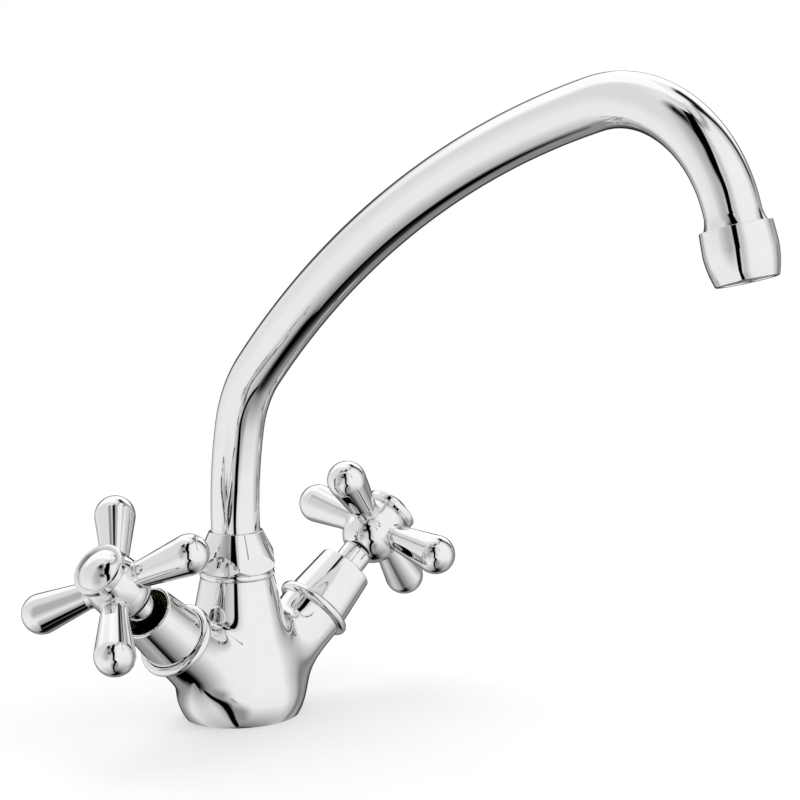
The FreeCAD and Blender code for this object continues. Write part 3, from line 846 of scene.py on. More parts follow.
    def draw_to_skin(
        self, points: np.ndarray, free: np.ndarray, arms: Sequence[ArmAxes],
    ) -> np.ndarray:
        """Moves points on to the blended skin, in place.

        Args:
            points: Rows of x, y, z.
            free: Which of them may move.
            arms: The two arms.

        Returns:
            The skin's unit normal at each point.
        """
        slope = self.gradient(points, arms)
        steep = np.maximum((slope ** 2).sum(1), TINY)
        points -= np.where(free, self.distance(points, arms) / steep, 0)[:, None] * slope
        return slope / np.sqrt(steep)[:, None]

    def smooth_skin(self, arms: Sequence[ArmAxes]) -> Mesh:
        """The fused mesh drawn on to the blended skin and evened out along it.

        Args:
            arms: The two arms.

        Returns:
            The closed skin, past the planes that it is then cut by.
        """
        fused = self.rough_union(arms)
        count = len(fused.vertices)
        points = np.empty(count * 3)
        fused.vertices.foreach_get("co", points)
        points = points.reshape(-1, 3)
        pairs = np.empty(len(fused.edges) * 2, int)
        fused.edges.foreach_get("vertices", pairs)
        first, second = pairs.reshape(-1, 2).T
        degree = np.bincount(first, minlength=count) + np.bincount(second, minlength=count)
        free = points[:, 2] > -self.margin
        free &= points[:, 2] < self.neck_height + self.margin
        for arm in arms:
            free &= (points - np.array(arm.end)) @ np.array(arm.axis) < self.margin
        for _ in range(self.evening_rounds):
            normal = self.draw_to_skin(points, free, arms)
            total = np.zeros_like(points)
            np.add.at(total, first, points[second])
            np.add.at(total, second, points[first])
            pull = total / degree[:, None] - points
            pull -= (pull * normal).sum(1)[:, None] * normal
            points += np.where(free, self.evening_pull, 0)[:, None] * pull
        for _ in range(self.closing_rounds):
            self.draw_to_skin(points, free, arms)
        fused.vertices.foreach_set("co", points.ravel())
        mesh = bmesh.new()
        mesh.from_mesh(fused)
        bpy.data.meshes.remove(fused)
        return mesh

    def underside(self, mesh: Mesh, rim: list[Edge]) -> None:
        """Closes the foot: seal groove, two hose inlets and the stud's hole.

        Args:
            mesh: The casting's skin.
            rim: The edges left open where the foot was cut.
        """
        outer_edges = open_circle(mesh, self.groove_outer, Matrix.Identity(4))
        inner_edges = open_circle(mesh, self.groove_inner, Matrix.Identity(4))
        fill_flat(mesh, rim + outer_edges, -UP)
        rise = UP * self.groove_depth
        groove = sink_loop(mesh, outer_edges, rise) + sink_loop(mesh, inner_edges, rise)
        fill_flat(mesh, groove, -UP)
        holes = [(0.0, self.stud_back, self.stud_radius, self.stud_depth)]
        for side in Side:
            x = side.value * self.inlet_spacing / 2
            holes.append((x, -self.inlet_forward, self.inlet_radius, self.inlet_depth))
        mouths = []
        for x, y, radius, depth in holes:
            mouth = open_circle(mesh, radius, Matrix.Translation((x, y, 0)), steps=48)
            mouths += mouth
            fill_flat(mesh, sink_loop(mesh, mouth, UP * depth), -UP)
        fill_flat(mesh, inner_edges + mouths, -UP)

    def turret(self, mesh: Mesh, rim: list[Edge]) -> None:
        """Closes the neck's top with the turret that the nut screws on, and its stepped bore.

        Args:
            mesh: The casting's skin.
            rim: The edges left open where the neck was cut.
        """
        foot = open_circle(mesh, self.turret_radius, Matrix.Translation(UP * self.neck_height))
        fill_flat(mesh, rim + foot, UP)
        top = sink_loop(mesh, foot, UP * self.turret_height)
        height = self.neck_height + self.turret_height
        bore = open_circle(mesh, self.turret_bore, Matrix.Translation(UP * height))
        fill_flat(mesh, top + bore, UP)
        depth = self.turret_height + self.turret_bore_depth
        floor = sink_loop(mesh, bore, -UP * depth)
        mouth = open_circle(mesh, self.chamber_radius, Matrix.Translation(UP * (height - depth)))
        fill_flat(mesh, floor + mouth, UP)
        fill_flat(mesh, sink_loop(mesh, mouth, -UP * self.chamber_depth), UP)

    def arm_end(self, mesh: Mesh, rim: list[Edge], arm: ArmAxes) -> None:
        """Closes an arm's end with the valve's bore, and adds the bead round it.

        Args:
            mesh: The casting's skin.
            rim: The edges left open where the arm was cut.
            arm: The arm.
        """
        out = arm.axis
        mouth = open_circle(mesh, self.thread_radius, arm.place)
        fill_flat(mesh, rim + mouth, out)
        step = sink_loop(mesh, mouth, -out * self.thread_depth)
        inner_place = arm.place @ Matrix.Translation(-UP * self.thread_depth)
        inner = open_circle(mesh, self.cavity_radius, inner_place)
        fill_flat(mesh, step + inner, out)
        fill_flat(mesh, sink_loop(mesh, inner, -out * (self.cavity_depth - self.thread_depth)), out)
        half = self.bead_width / 2
        flank = self.bead_radius - half
        foot = self.recess_radius - self.bead_foot
        crown = arc_points((flank, -half), (self.bead_radius, 0), (flank, half), count=28)
        corners = [(foot, -half, 0.0)] + plain(crown)
        corners += [
            (self.recess_radius, half, 0.0),
            (self.recess_radius, 0, 0.0),
            (foot, 0, 0.0),
        ]
        Lathe(arm.place, steps=160).turn(mesh, rounded(corners, closed=True))

    def build(self, finish: Finish) -> Piece:
        """Makes the casting.

        Args:
            finish: Its finish.

        Returns:
            The piece.
        """
        arms = [ArmAxes(side) for side in Side]
        mesh = self.smooth_skin(arms)
        foot_rim = cut_off(mesh, Vector((0, 0, 0)), -UP)
        neck_rim = cut_off(mesh, UP * self.neck_height, UP)
        arm_rims = [cut_off(mesh, arm.end, arm.axis) for arm in arms]
        self.underside(mesh, foot_rim)
        self.turret(mesh, neck_rim)
        for arm, rim in zip(arms, arm_rims):
            self.arm_end(mesh, rim, arm)
        return finished("body_casting_skin", mesh, "tap_body", finish, ["body_casting"])


# --------------------------------------------------------------------------------------------------
# Spout nut
# --------------------------------------------------------------------------------------------------


@dataclass
class SpoutNut:
    """The conical hexagon nut on a round collar, which holds the spout down."""

    bottom: float = NECK_HEIGHT
    height: float = 17.1
    across_flats: float = 27.0
    rim_radius: float = 9.9
    rim_edge: float = 0.35
    corner_height: float = 5.4
    chamfer: float = 2.2
    turn_degrees: float = 53.0
    flat_edge: float = 0.22
    flat_edge_degrees: float = 12.0
    crisp_degrees: float = 20.0
    collar_radius: float = 13.9
    collar_height: float = 2.2
    collar_bulge: float = 0.35
    collar_corner: float = 0.08
    collar_inset: float = 0.8
    thread_radius: float = 12.05
    tube_hole_radius: float = 9.3
    tube_hole_edge: float = 0.28
    roof: float = 6.2
    steps_round: int = 180

    def cut_flats(self, mesh: Mesh) -> list[tuple[Vector, Vector]]:
        """Cuts the six flats and closes them.

        Args:
            mesh: The turned cone.

        Returns:
            A point and the outward normal of each flat.
        """
        flats = []
        for index in range(6):
            angle = math.radians(self.turn_degrees + 30 + 60 * index)
            normal = Vector((math.cos(angle), math.sin(angle), 0))
            point = normal * (self.across_flats / 2)
            edges = cut_off(mesh, point, normal)
            face_along(bmesh.ops.contextual_create(mesh, geom=edges)["faces"], normal)
            flats.append((point, normal))
        return flats

    def break_edges(self, mesh: Mesh, flats: Sequence[tuple[Vector, Vector]]) -> None:
        """Bevels the edges between the flats and what they were cut from.

        Args:
            mesh: The nut, with its flats cut.
            flats: A point and the outward normal of each flat.
        """
        sharp = [
            edge for edge in mesh.edges
            if len(edge.link_faces) == 2
            and edge.calc_face_angle(0.0) >= math.radians(self.flat_edge_degrees)
            and any(lies_on(edge, point, normal) for point, normal in flats)
        ]
        bmesh.ops.bevel(
            mesh, geom=sharp, offset=self.flat_edge, offset_type="OFFSET", segments=3, profile=0.5,
            affect="EDGES", material=-1, clamp_overlap=True,
        )

    def build(self, finish: Finish) -> Piece:
        """Makes the nut: a turned cone cut by six flats, with its edges broken, on its collar.

        Args:
            finish: Its finish.

        Returns:
            The piece.
        """
        mesh = bmesh.new()
        corner = self.across_flats / math.sqrt(3)
        top = self.bottom + self.height
        shoulder = self.bottom + self.collar_height
        ceiling = top - self.roof
        outline = rounded([
            (self.thread_radius, shoulder, 0.0),
            (corner - self.chamfer, shoulder, 0.0),
            (corner, shoulder + self.chamfer, 0.0),
            (corner, self.bottom + self.corner_height, 0.0),
            (self.rim_radius, top, self.rim_edge),
            (self.tube_hole_radius, top, self.tube_hole_edge),
            (self.tube_hole_radius, ceiling, 0.0),
            (self.thread_radius, ceiling, 0.0),
        ], closed=True)
        Lathe(steps=self.steps_round).turn(mesh, outline)
        self.break_edges(mesh, self.cut_flats(mesh))
        flank = self.collar_radius - self.collar_bulge
        inset = self.collar_radius - self.collar_inset
        side = arc_points(
            (flank, self.bottom + self.collar_corner),
            (self.collar_radius, self.bottom + self.collar_height / 2),
            (flank, shoulder - self.collar_corner),
            count=14,
        )
        collar = [(self.thread_radius, self.bottom, 0.0), (inset, self.bottom, 0.0)]
        collar += plain(side)
        collar += [(inset, shoulder, 0.0), (self.thread_radius, shoulder, 0.0)]
        Lathe(steps=self.steps_round).turn(mesh, rounded(collar, closed=True))
        crisp = math.radians(self.crisp_degrees)
        return finished("spout_nut_cone", mesh, "tap_body", finish, ["spout_nut"], crisp)


# --------------------------------------------------------------------------------------------------
# Spout
# --------------------------------------------------------------------------------------------------


@dataclass(frozen=True)
class Bend:
    """One bend of the spout: its centre, its radius and the slopes that it runs between."""

    centre: Vector
    radius: float
    start: float
    end: float


@dataclass
class Spout:
    """The bent spout tube, its flared nipple and the aerator housing below it."""

    radius: float = 9.0
    wall: float = 1.0
    foot_height: float = 57.0
    rise_end: float = 72.4
    bend_radii: tuple[float, ...] = (163.0, 47.0, 350.0, 45.2)
    bend_slopes: tuple[float, ...] = (13.0, 43.1, 74.8, 164.8)
    end_length: float = 4.5
    steps_round: int = 112
    bend_step: float = 1.6
    flare_radius: float = 10.1
    flare_length: float = 4.3
    flare_proud: float = 0.012
    flare_power: float = 1.7
    flare_steps: int = 14
    nipple_below: float = 6.0
    nipple_wall: float = 2.1
    nipple_edge: float = 0.2
    nipple_overlap: float = 0.4
    nipple_step: float = 0.05
    housing_length: float = 17.1
    housing_top: float = 11.5
    housing_top_edges: tuple[float, float] = (0.15, 0.18)
    housing_waist: float = 11.85
    thread_gap: float = 0.05
    shoulder_out: float = 0.02
    shoulder_down: float = 0.6
    shoulder_bulge: float = 0.12
    shoulder_share: float = 0.55
    waist_depth: float = 7.4
    barrel_bulge: float = 0.35
    mouth_radius: float = 10.0
    mouth_out: float = 0.02
    mouth_edge: float = 0.5
    lip_radius: float = 8.4
    lip_thickness: float = 1.0
    lip_edges: tuple[float, float] = (0.35, 0.2)
    insert_radius: float = 9.3
    insert_top: float = 8.2

    def route(self) -> tuple[list[Bend], Vector, Vector]:
        """Follows the tube's centre line from the top of its straight rise.

        Returns:
            The bends in order, the line's end and its direction there.
        """
        bends = []
        here = Vector((0, 0, self.rise_end))
        slope = 0.0
        for radius, degrees in zip(self.bend_radii, self.bend_slopes):
            later = math.radians(degrees)
            centre = here + Vector((0, -math.cos(slope), -math.sin(slope))) * radius
            here = centre + Vector((0, math.cos(later), math.sin(later))) * radius
            bends.append(Bend(centre, radius, slope, later))
            slope = later
        direction = Vector((0, -math.sin(slope), math.cos(slope)))
        return bends, here + direction * self.end_length, direction

    def outlet_place(self) -> Matrix:
        """The outlet's frame at the tube's end.

        Returns:
            A frame with Z along the tube's direction there and X level.
        """
        _, end, direction = self.route()
        across = Vector((1, 0, 0))
        turn = Matrix((across, direction.cross(across), direction)).transposed().to_4x4()
        return Matrix.Translation(end) @ turn

    def sweep(self, mesh: Mesh) -> None:
        """Sweeps the tube's outer circle up the straight rise and round each bend.

        Args:
            mesh: The mesh.
        """
        start = Matrix.Translation((0, 0, self.foot_height))
        rise = Vector((0, 0, self.rise_end)) - start.translation
        ring = sink_loop(mesh, open_circle(mesh, self.radius, start, self.steps_round), rise)
        bends, _, direction = self.route()
        for bend in bends:
            turn = bend.end - bend.start
            made = bmesh.ops.spin(
                mesh, geom=list({vert for edge in ring for vert in edge.verts}) + ring,
                cent=bend.centre, axis=(1, 0, 0), dvec=(0, 0, 0), angle=turn,
                steps=max(2, round(turn * bend.radius / self.bend_step)),
                use_merge=False, use_duplicate=False,
            )["geom_last"]
            ring = [part for part in made if isinstance(part, Edge)]
        sink_loop(mesh, ring, direction * self.end_length)

    def tube(self, finish: Finish) -> Piece:
        """Makes the tube: the swept skin, given its wall inward.

        Args:
            finish: Its finish.

        Returns:
            The piece.
        """
        mesh = bmesh.new()
        self.sweep(mesh)
        bmesh.ops.remove_doubles(mesh, verts=mesh.verts, dist=WELD)
        bmesh.ops.recalc_face_normals(mesh, faces=mesh.faces)
        # The open skin has no inside of its own, so its foot tells which way is out.
        foot = min(mesh.faces, key=lambda face: face.calc_center_median().z)
        if foot.normal.dot(Vector((*foot.calc_center_median().xy, 0))) < 0:
            bmesh.ops.reverse_faces(mesh, faces=mesh.faces)
        bmesh.ops.solidify(mesh, geom=mesh.faces[:], thickness=self.wall)
        return finished("spout_tube_bent", mesh, "spout", finish, ["spout_tube"])

    def nipple(self, finish: Finish) -> Piece:
        """Makes the flared nipple, which runs out of the tube with hardly a step.

        Args:
            finish: Its finish.

        Returns:
            The piece.
        """
        mesh = bmesh.new()
        start = self.radius + self.flare_proud
        flare = []
        for step in range(self.flare_steps + 1):
            share = step / self.flare_steps
            out = (self.flare_radius - self.radius) * share ** self.flare_power
            flare.append((start + out, -self.flare_length * (1 - share)))
        inner = self.flare_radius - self.nipple_wall
        seat = self.radius - self.nipple_overlap
        corners = [(seat, -self.flare_length, 0.0)] + plain(flare)
        corners += [
            (self.flare_radius, self.nipple_below, self.nipple_edge),
            (inner, self.nipple_below, self.nipple_edge),
            (inner, self.nipple_step, 0.0),
            (seat, self.nipple_step, 0.0),
        ]
        Lathe(self.outlet_place()).turn(mesh, rounded(corners, closed=True))
        return finished("aerator_nipple_flared", mesh, "spout", finish, ["aerator_nipple"])

    def housing(self, finish: Finish) -> Piece:
        """Makes the barrel-shaped aerator housing with its rolled lip.

        Args:
            finish: Its finish.

        Returns:
            The piece.
        """
        mesh = bmesh.new()
        length, waist = self.housing_length, (self.housing_waist, self.waist_depth)
        lip = length - self.lip_thickness
        thread = self.flare_radius + self.thread_gap
        top_inner, top_outer = self.housing_top_edges
        lip_outer, lip_inner = self.lip_edges
        shoulder = arc_points(
            (self.housing_top + self.shoulder_out, self.shoulder_down),
            (self.housing_waist - self.shoulder_bulge, self.waist_depth * self.shoulder_share),
            waist,
            count=14,
        )
        middle_radius = (self.housing_waist + self.mouth_radius) / 2 + self.barrel_bulge
        barrel = arc_points(
            waist,
            (middle_radius, (self.waist_depth + length) / 2),
            (self.mouth_radius, length),
            count=22,
        )
        corners = [(thread, 0.0, top_inner), (self.housing_top, 0.0, top_outer)]
        corners += plain(shoulder) + plain(barrel[1:-2])
        corners += [
            (self.mouth_radius + self.mouth_out, length, self.mouth_edge),
            (self.lip_radius, length, lip_outer),
            (self.lip_radius, lip, lip_inner),
            (self.insert_radius, lip, 0.0),
            (self.insert_radius, self.insert_top, 0.0),
            (thread, self.insert_top, 0.0),
        ]
        Lathe(self.outlet_place(), steps=144).turn(mesh, rounded(corners, closed=True))
        return finished("aerator_housing_barrel", mesh, "spout", finish, ["aerator_housing"])

    def build(self, finish: Finish) -> list[Piece]:
        """Makes the spout's outer pieces."""
        return [self.tube(finish), self.nipple(finish), self.housing(finish)]


# --------------------------------------------------------------------------------------------------
# Valves and handles
# --------------------------------------------------------------------------------------------------


@dataclass
class Shroud:
    """The tapered bell over a headwork, with a rounded edge at its mouth."""

    foot_radius: float = 12.4
    mouth_radius: float = 10.5
    length: float = 20.6
    wall: float = 1.2
    edge: float = 1.0
    inner_edge: float = 0.3

    def build(self, arm: ArmAxes, finish: Finish) -> Piece:
        """Makes one shroud.

        Args:
            arm: The arm that it stands on.
            finish: Its finish.

        Returns:
            The piece.
        """
        mesh = bmesh.new()
        outline = rounded([
            (self.foot_radius - self.wall, 0.0, 0.0),
            (self.foot_radius, 0.0, 0.0),
            (self.mouth_radius, self.length, self.edge),
            (self.mouth_radius - self.wall, self.length, self.inner_edge),
        ], closed=True, steps=10)
        Lathe(arm.place, steps=160).turn(mesh, outline)
        node = arm.side.named("shroud")
        return finished(f"{node}_bell", mesh, "tap_body", finish, [node])


@dataclass
class CrossHandle:
    """One cross handle: an egg-shaped hub on its neck, four teardrop spokes and an index cap.

    Places are distances from the arm's end, and the spokes' are distances from the hub's axis.
    belly_back and belly_front say how far in and how far along from the belly the middles of the
    hub's two arcs lie. cap_foot and cap_shoulder say the same of the ends of the cap's side band.
    """

    turn_degrees: float
    neck_radius: float = 5.9
    neck_start: float = 15.0
    neck_edge: float = 0.3
    neck_groove: float = 0.3
    neck_groove_start: float = 0.55
    neck_groove_floor: float = 0.35
    neck_groove_edge: float = 0.1
    hub_start: float = 28.4
    hub_back_radius: float = 6.6
    belly_radius: float = 10.9
    belly_position: float = 37.6
    belly_back: Point = (0.9, 5.2)
    belly_front: Point = (0.3, 5.0)
    front_radius: float = 8.9
    front: float = 47.7
    bore_edge: float = 0.2
    spline_bore: float = 4.1
    spindle_top: float = 32.8
    screw_bore: float = 2.55
    screw_seat: float = 39.5
    counterbore: float = 6.6
    spoke_count: int = 4
    root_radius: float = 4.9
    root_distance: float = 9.5
    root_hollow: float = 0.1
    root_rise: float = 0.4
    root_edges: tuple[float, float] = (0.15, 0.1)
    collar_radius: float = 5.15
    collar_length: float = 1.6
    collar_buried: float = 1.2
    collar_edge: float = 0.35
    bulb_radius: float = 7.4
    bulb_distance: float = 30.8
    stud_radius: float = 3.0
    stud_end: float = 7.3
    cap_radius: float = 10.1
    cap_thickness: float = 3.6
    cap_rim: float = 1.7
    cap_recess: float = 0.7
    cap_dome: float = 3.8
    cap_plug: float = 6.5
    cap_plug_length: float = 3.0
    cap_edge: float = 0.3
    cap_foot: Point = (0.6, 1.2)
    cap_foot_edge: float = 0.5
    cap_shoulder: Point = (0.7, 0.5)
    cap_shoulder_edges: tuple[float, float] = (0.4, 0.8)
    cap_rim_slope: float = 0.3
    cap_rim_edge: float = 0.5

    def turned(
        self,
        arm: ArmAxes,
        part: str,
        shape: str,
        corners: Sequence[Corner],
        finish: Finish,
        closed: bool = False,
    ) -> Piece:
        """Turns one of the handle's parts about the arm's axis.

        Args:
            arm: The arm that the handle stands on.
            part: The name of the part's node, without the side.
            shape: The word that ends the piece's name.
            corners: Its outline.
            finish: Its finish.
            closed: Whether the outline stays off the axis, so that its last corner joins its first.

        Returns:
            The piece.
        """
        mesh = bmesh.new()
        Lathe(arm.place, steps=144).turn(mesh, rounded(corners, closed), closed)
        node = arm.side.named(part)
        return finished(f"{node}_{shape}", mesh, arm.side.named("handle"), finish, [node])

    def hub(self, arm: ArmAxes, finish: Finish) -> Piece:
        """Makes the hub with its neck and stepped bore.

        Args:
            arm: The arm that the handle stands on.
            finish: Its finish.

        Returns:
            The piece.
        """
        belly = (self.belly_radius, self.belly_position)
        back = arc_points(
            (self.hub_back_radius, self.hub_start),
            (belly[0] - self.belly_back[0], belly[1] - self.belly_back[1]),
            belly,
            count=26,
        )
        front = arc_points(
            belly,
            (belly[0] - self.belly_front[0], belly[1] + self.belly_front[1]),
            (self.front_radius, self.front),
            count=22,
        )
        groove = self.neck_radius - self.neck_groove
        corners = [
            (self.spline_bore, self.neck_start, self.bore_edge),
            (self.neck_radius, self.neck_start, self.neck_edge),
            (self.neck_radius, self.hub_start - self.neck_groove_start, self.neck_groove_edge),
            (groove, self.hub_start - self.neck_groove_floor, 0.0),
            (groove, self.hub_start, 0.0),
        ]
        corners += plain(back) + plain(front[1:])
        corners += [
            (self.counterbore, self.front, self.bore_edge),
            (self.counterbore, self.screw_seat, 0.0),
            (self.screw_bore, self.screw_seat, 0.0),
            (self.screw_bore, self.spindle_top, 0.0),
            (self.spline_bore, self.spindle_top, 0.0),
        ]
        return self.turned(arm, "handle_hub", "egg", corners, finish, closed=True)

    def cap(self, arm: ArmAxes, finish: Finish) -> Piece:
        """Makes the plain index cap: side band, raised round rim and domed middle.

        Args:
            arm: The arm that the handle stands on.
            finish: Its finish.

        Returns:
            The piece.
        """
        front = self.front + self.cap_thickness
        inner = self.cap_radius - self.cap_rim
        face = front - self.cap_recess
        dome_top = face + self.cap_dome
        sphere = (inner ** 2 + self.cap_dome ** 2) / (2 * self.cap_dome)
        half_angle = math.asin(inner / sphere) / 2
        middle = (sphere * math.sin(half_angle), dome_top - sphere * (1 - math.cos(half_angle)))
        dome = arc_points((inner, face), middle, (0.0, dome_top), count=30)
        plug_end = self.front - self.cap_plug_length
        foot_in, foot_up = self.cap_foot
        shoulder_in, shoulder_down = self.cap_shoulder
        side_edge, shoulder_edge = self.cap_shoulder_edges
        corners = [
            (0.0, plug_end, 0.0),
            (self.cap_plug, plug_end, self.cap_edge),
            (self.cap_plug, self.front, 0.0),
            (self.cap_radius - foot_in, self.front, self.cap_edge),
            (self.cap_radius, self.front + foot_up, self.cap_foot_edge),
            (self.cap_radius, front - shoulder_down, side_edge),
            (self.cap_radius - shoulder_in, front, shoulder_edge),
            (inner + self.cap_rim_slope, front, self.cap_rim_edge),
        ]
        return self.turned(arm, "index_cap", "domed", corners + plain(dome), finish)

    def spoke(self, arm: ArmAxes, number: int, finish: Finish) -> Piece:
        """Makes one teardrop spoke with the fine collar at its root.

        Args:
            arm: The arm whose handle it belongs to.
            number: 1 to 4, counted round the hub.
            finish: Its finish.

        Returns:
            The piece.
        """
        mesh = bmesh.new()
        bulb, distance = self.bulb_radius, self.bulb_distance
        # The straight taper from the root touches the bulb where its slant is the bulb's own.
        slant = math.asin((bulb - self.root_radius) / (distance - self.root_distance))
        touch = (bulb * math.cos(slant), distance - bulb * math.sin(slant))
        halfway = (math.pi / 2 - slant) / 2
        middle = (bulb * math.cos(halfway), distance + bulb * math.sin(halfway))
        tip = (0.0, distance + bulb)
        collar_start = self.root_distance - self.collar_buried
        collar_end = self.root_distance + self.collar_length
        hollow_edge, root_edge = self.root_edges
        corners = [
            (0.0, self.stud_end, 0.0),
            (self.stud_radius, self.stud_end, 0.0),
            (self.stud_radius, collar_start, 0.0),
            (self.collar_radius, collar_start, 0.0),
            (self.collar_radius, collar_end, self.collar_edge),
            (self.root_radius - self.root_hollow, collar_end + self.root_hollow, hollow_edge),
            (self.root_radius, collar_end + self.root_rise, root_edge),
        ]
        corners += plain(arc_points(touch, middle, tip, count=40))
        angle = math.radians(self.turn_degrees + 360 * (number - 1) / self.spoke_count)
        out = Vector((math.cos(angle), math.sin(angle), 0))
        turn = Matrix((UP.cross(out), UP, out)).transposed().to_4x4()
        place = arm.place @ Matrix.Translation(UP * SPOKE_HEIGHT) @ turn
        Lathe(place, steps=96).turn(mesh, rounded(corners, closed=False), closed=False)
        node = arm.side.named(f"spoke_{number}")
        return finished(f"{node}_teardrop", mesh, arm.side.named("handle"), finish, [node])

    def build(self, arm: ArmAxes, finish: Finish) -> list[Piece]:
        """Makes the whole handle on its arm.

        Args:
            arm: The arm that it stands on.
            finish: Its finish.

        Returns:
            The hub, the cap and the spokes.
        """
        pieces = [self.hub(arm, finish), self.cap(arm, finish)]
        pieces += [self.spoke(arm, number + 1, finish) for number in range(self.spoke_count)]
        return pieces


# --------------------------------------------------------------------------------------------------
# Nodes of the frame that stay as they are
# --------------------------------------------------------------------------------------------------


@dataclass
class InnerParts:
    """The frame's own nodes that stay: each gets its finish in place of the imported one."""

    finishes: dict[str, Finish] = field(
        default_factory=lambda: {kind.value.slot: kind.value for kind in FinishKind},
    )

    def dress(self) -> None:
        """Gives every shown node the finish that the record names for it."""
        slots = {part["node"]: part["material_slot"] for part in frame["record"]["subparts"]}
        for name, node in frame["nodes"].items():
            if node.hide_render:
                continue
            finish = self.finishes[slots[name]]
            for slot in node.material_slots:
                slot.material = finish.material()
            node.data.shade_smooth()
            LOG.info("%s keeps its shape, finish %s", name, finish.name)


# --------------------------------------------------------------------------------------------------
# Studio
# --------------------------------------------------------------------------------------------------


@dataclass(frozen=True)
class Panel:
    """A patch of the room's light, placed by bearing from the camera and by height, in degrees.

    A bearing is positive to the camera's right. A side beyond 180 or a height beyond 90 has no edge
    there. soft_side and soft_height are the widths over which the panel's edges fade.
    """

    name: str
    left: float
    right: float
    low: float
    high: float
    soft_side: float
    soft_height: float
    light: float

    def edges(self, bearing: Socket, height: Socket) -> list[PanelEdge]:
        """The panel's edges that lie within the room.

        Args:
            bearing: Bearing of the ray, in radians.
            height: Height of the ray above the horizon, in radians.

        Returns:
            For each edge the angle it is measured by, where its middle lies, how far it fades, and
            the panel's share below it.
        """
        sides = (
            (bearing, self.left, self.soft_side, 0.0),
            (bearing, self.right, self.soft_side, 1.0),
            (height, self.low, self.soft_height, 0.0),
            (height, self.high, self.soft_height, 1.0),
        )
        limits = (180, 180, 90, 90)
        return [side for side, limit in zip(sides, limits) if abs(side[1]) < limit]


# White soft boxes behind and above, pale walls, dark frames between them and a dark floor.
ROOM = (
    Panel("left wall", -135, -40, 0, 66, 30, 30, 0.9),
    Panel("bright wall, right", 26, 100, -4, 60, 20, 16, 1.1),
    Panel("fall of light to the floor", -400, 400, -400, -54, 1, 66, 0.0),
    Panel("left table top", -125, -24, -400, -14, 24, 16, 1.05),
    Panel("left table top, near", -125, -24, -400, -70, 24, 60, 0.1),
    Panel("shade behind left", -400, -133, -400, -8, 24, 36, 0.33),
    Panel("dark behind left", -400, -140, -400, -66, 20, 10, 0.01),
    Panel("shade behind right", 128, 400, -400, -30, 24, 30, 0.28),
    Panel("dark behind right", 118, 400, -400, -68, 30, 16, 0.03),
    Panel("dark foot, behind right", 140, 400, -400, -63, 20, 10, 0.02),
    Panel("back wall, right", 131, 400, -34, 22, 14, 20, 0.3),
    Panel("back edge, right", 128, 137, -34, -6, 6, 6, 0.1),
    Panel("back wall, left", -400, -146, -6, 18, 12, 12, 0.12),
    Panel("far back, left", -400, -157, -34, 18, 14, 14, 0.03),
    Panel("far back, right", 157, 400, -34, 18, 14, 14, 0.03),
    Panel("soft box behind left", -400, -118, 20, 400, 14, 12, 1.25),
    Panel("soft box behind right", 134, 400, 14, 50, 6, 6, 1.4),
    Panel("soft box above right", 110, 400, 70, 400, 20, 6, 1.15),
    Panel("ceiling", -100, 110, 76, 400, 60, 8, 0.85),
    Panel("shade before the frame", 104, 135, -60, 64, 26, 20, 0.6),
    Panel("edge of the frame", 121, 136, -44, 4, 8, 10, 0.28),
    Panel("frame on the right", 118, 131, 12, 70, 6, 10, 0.015),
    Panel("frame corner", 118, 160, 48, 66, 8, 8, 0.01),
    Panel("shade of the flag", -52, -20, 20, 60, 26, 26, 0.22),
    Panel("flag above left", -64, -34, 46, 65, 14, 12, 0.008),
    Panel("frame above", -20, 120, 68, 75, 10, 5, 0.5),
    Panel("flag above", -10, 14, 66, 82, 12, 8, 0.03),
    Panel("shade left of the opening", -56, -20, -10, 40, 30, 24, 0.55),
    Panel("dark left of the opening", -36, -14, 22, 33, 10, 6, 0.05),
    Panel("shade right of the opening", -12, 8, -24, 70, 18, 10, 0.66),
    Panel("shade below the opening", -16, 24, -62, -24, 16, 20, 0.35),
    Panel("dark foot", -48, 400, -400, -77, 20, 12, 0.0),
    Panel("dark foot, left", -400, -132, -400, -75, 16, 10, 0.0),
    Panel("dark foot, behind left", -400, -148, -400, -62, 10, 8, 0.0),
)

# The dark opening that the camera looks through, in metres: height, left and right edge, and how
# far each of them fades.
OPENING = (
    (-3.0, -0.22, -0.02, 0.06, 0.05),
    (-1.8, -0.25, -0.02, 0.05, 0.05),
    (-1.15, -0.21, -0.05, 0.04, 0.04),
    (-0.8, -0.15, -0.03, 0.04, 0.04),
    (-0.55, -0.12, 0.01, 0.03, 0.04),
    (-0.4, -0.08, 0.07, 0.03, 0.05),
    (-0.3, -0.02, 0.18, 0.03, 0.05),
    (-0.2, -0.01, 0.19, 0.03, 0.04),
    (-0.12, -0.07, 0.1, 0.03, 0.03),
    (-0.04, -0.11, 0.01, 0.02, 0.02),
    (0.2, -0.1, 0.03, 0.02, 0.03),
    (0.5, -0.14, 0.05, 0.05, 0.03),
    (0.65, -0.29, -0.02, 0.06, 0.03),
    (0.8, -0.28, -0.01, 0.08, 0.04),
    (1.1, -0.36, 0.02, 0.08, 0.05),
    (1.5, -0.3, 0.05, 0.1, 0.05),
    (3.0, -0.4, 0.1, 0.3, 0.05),
)


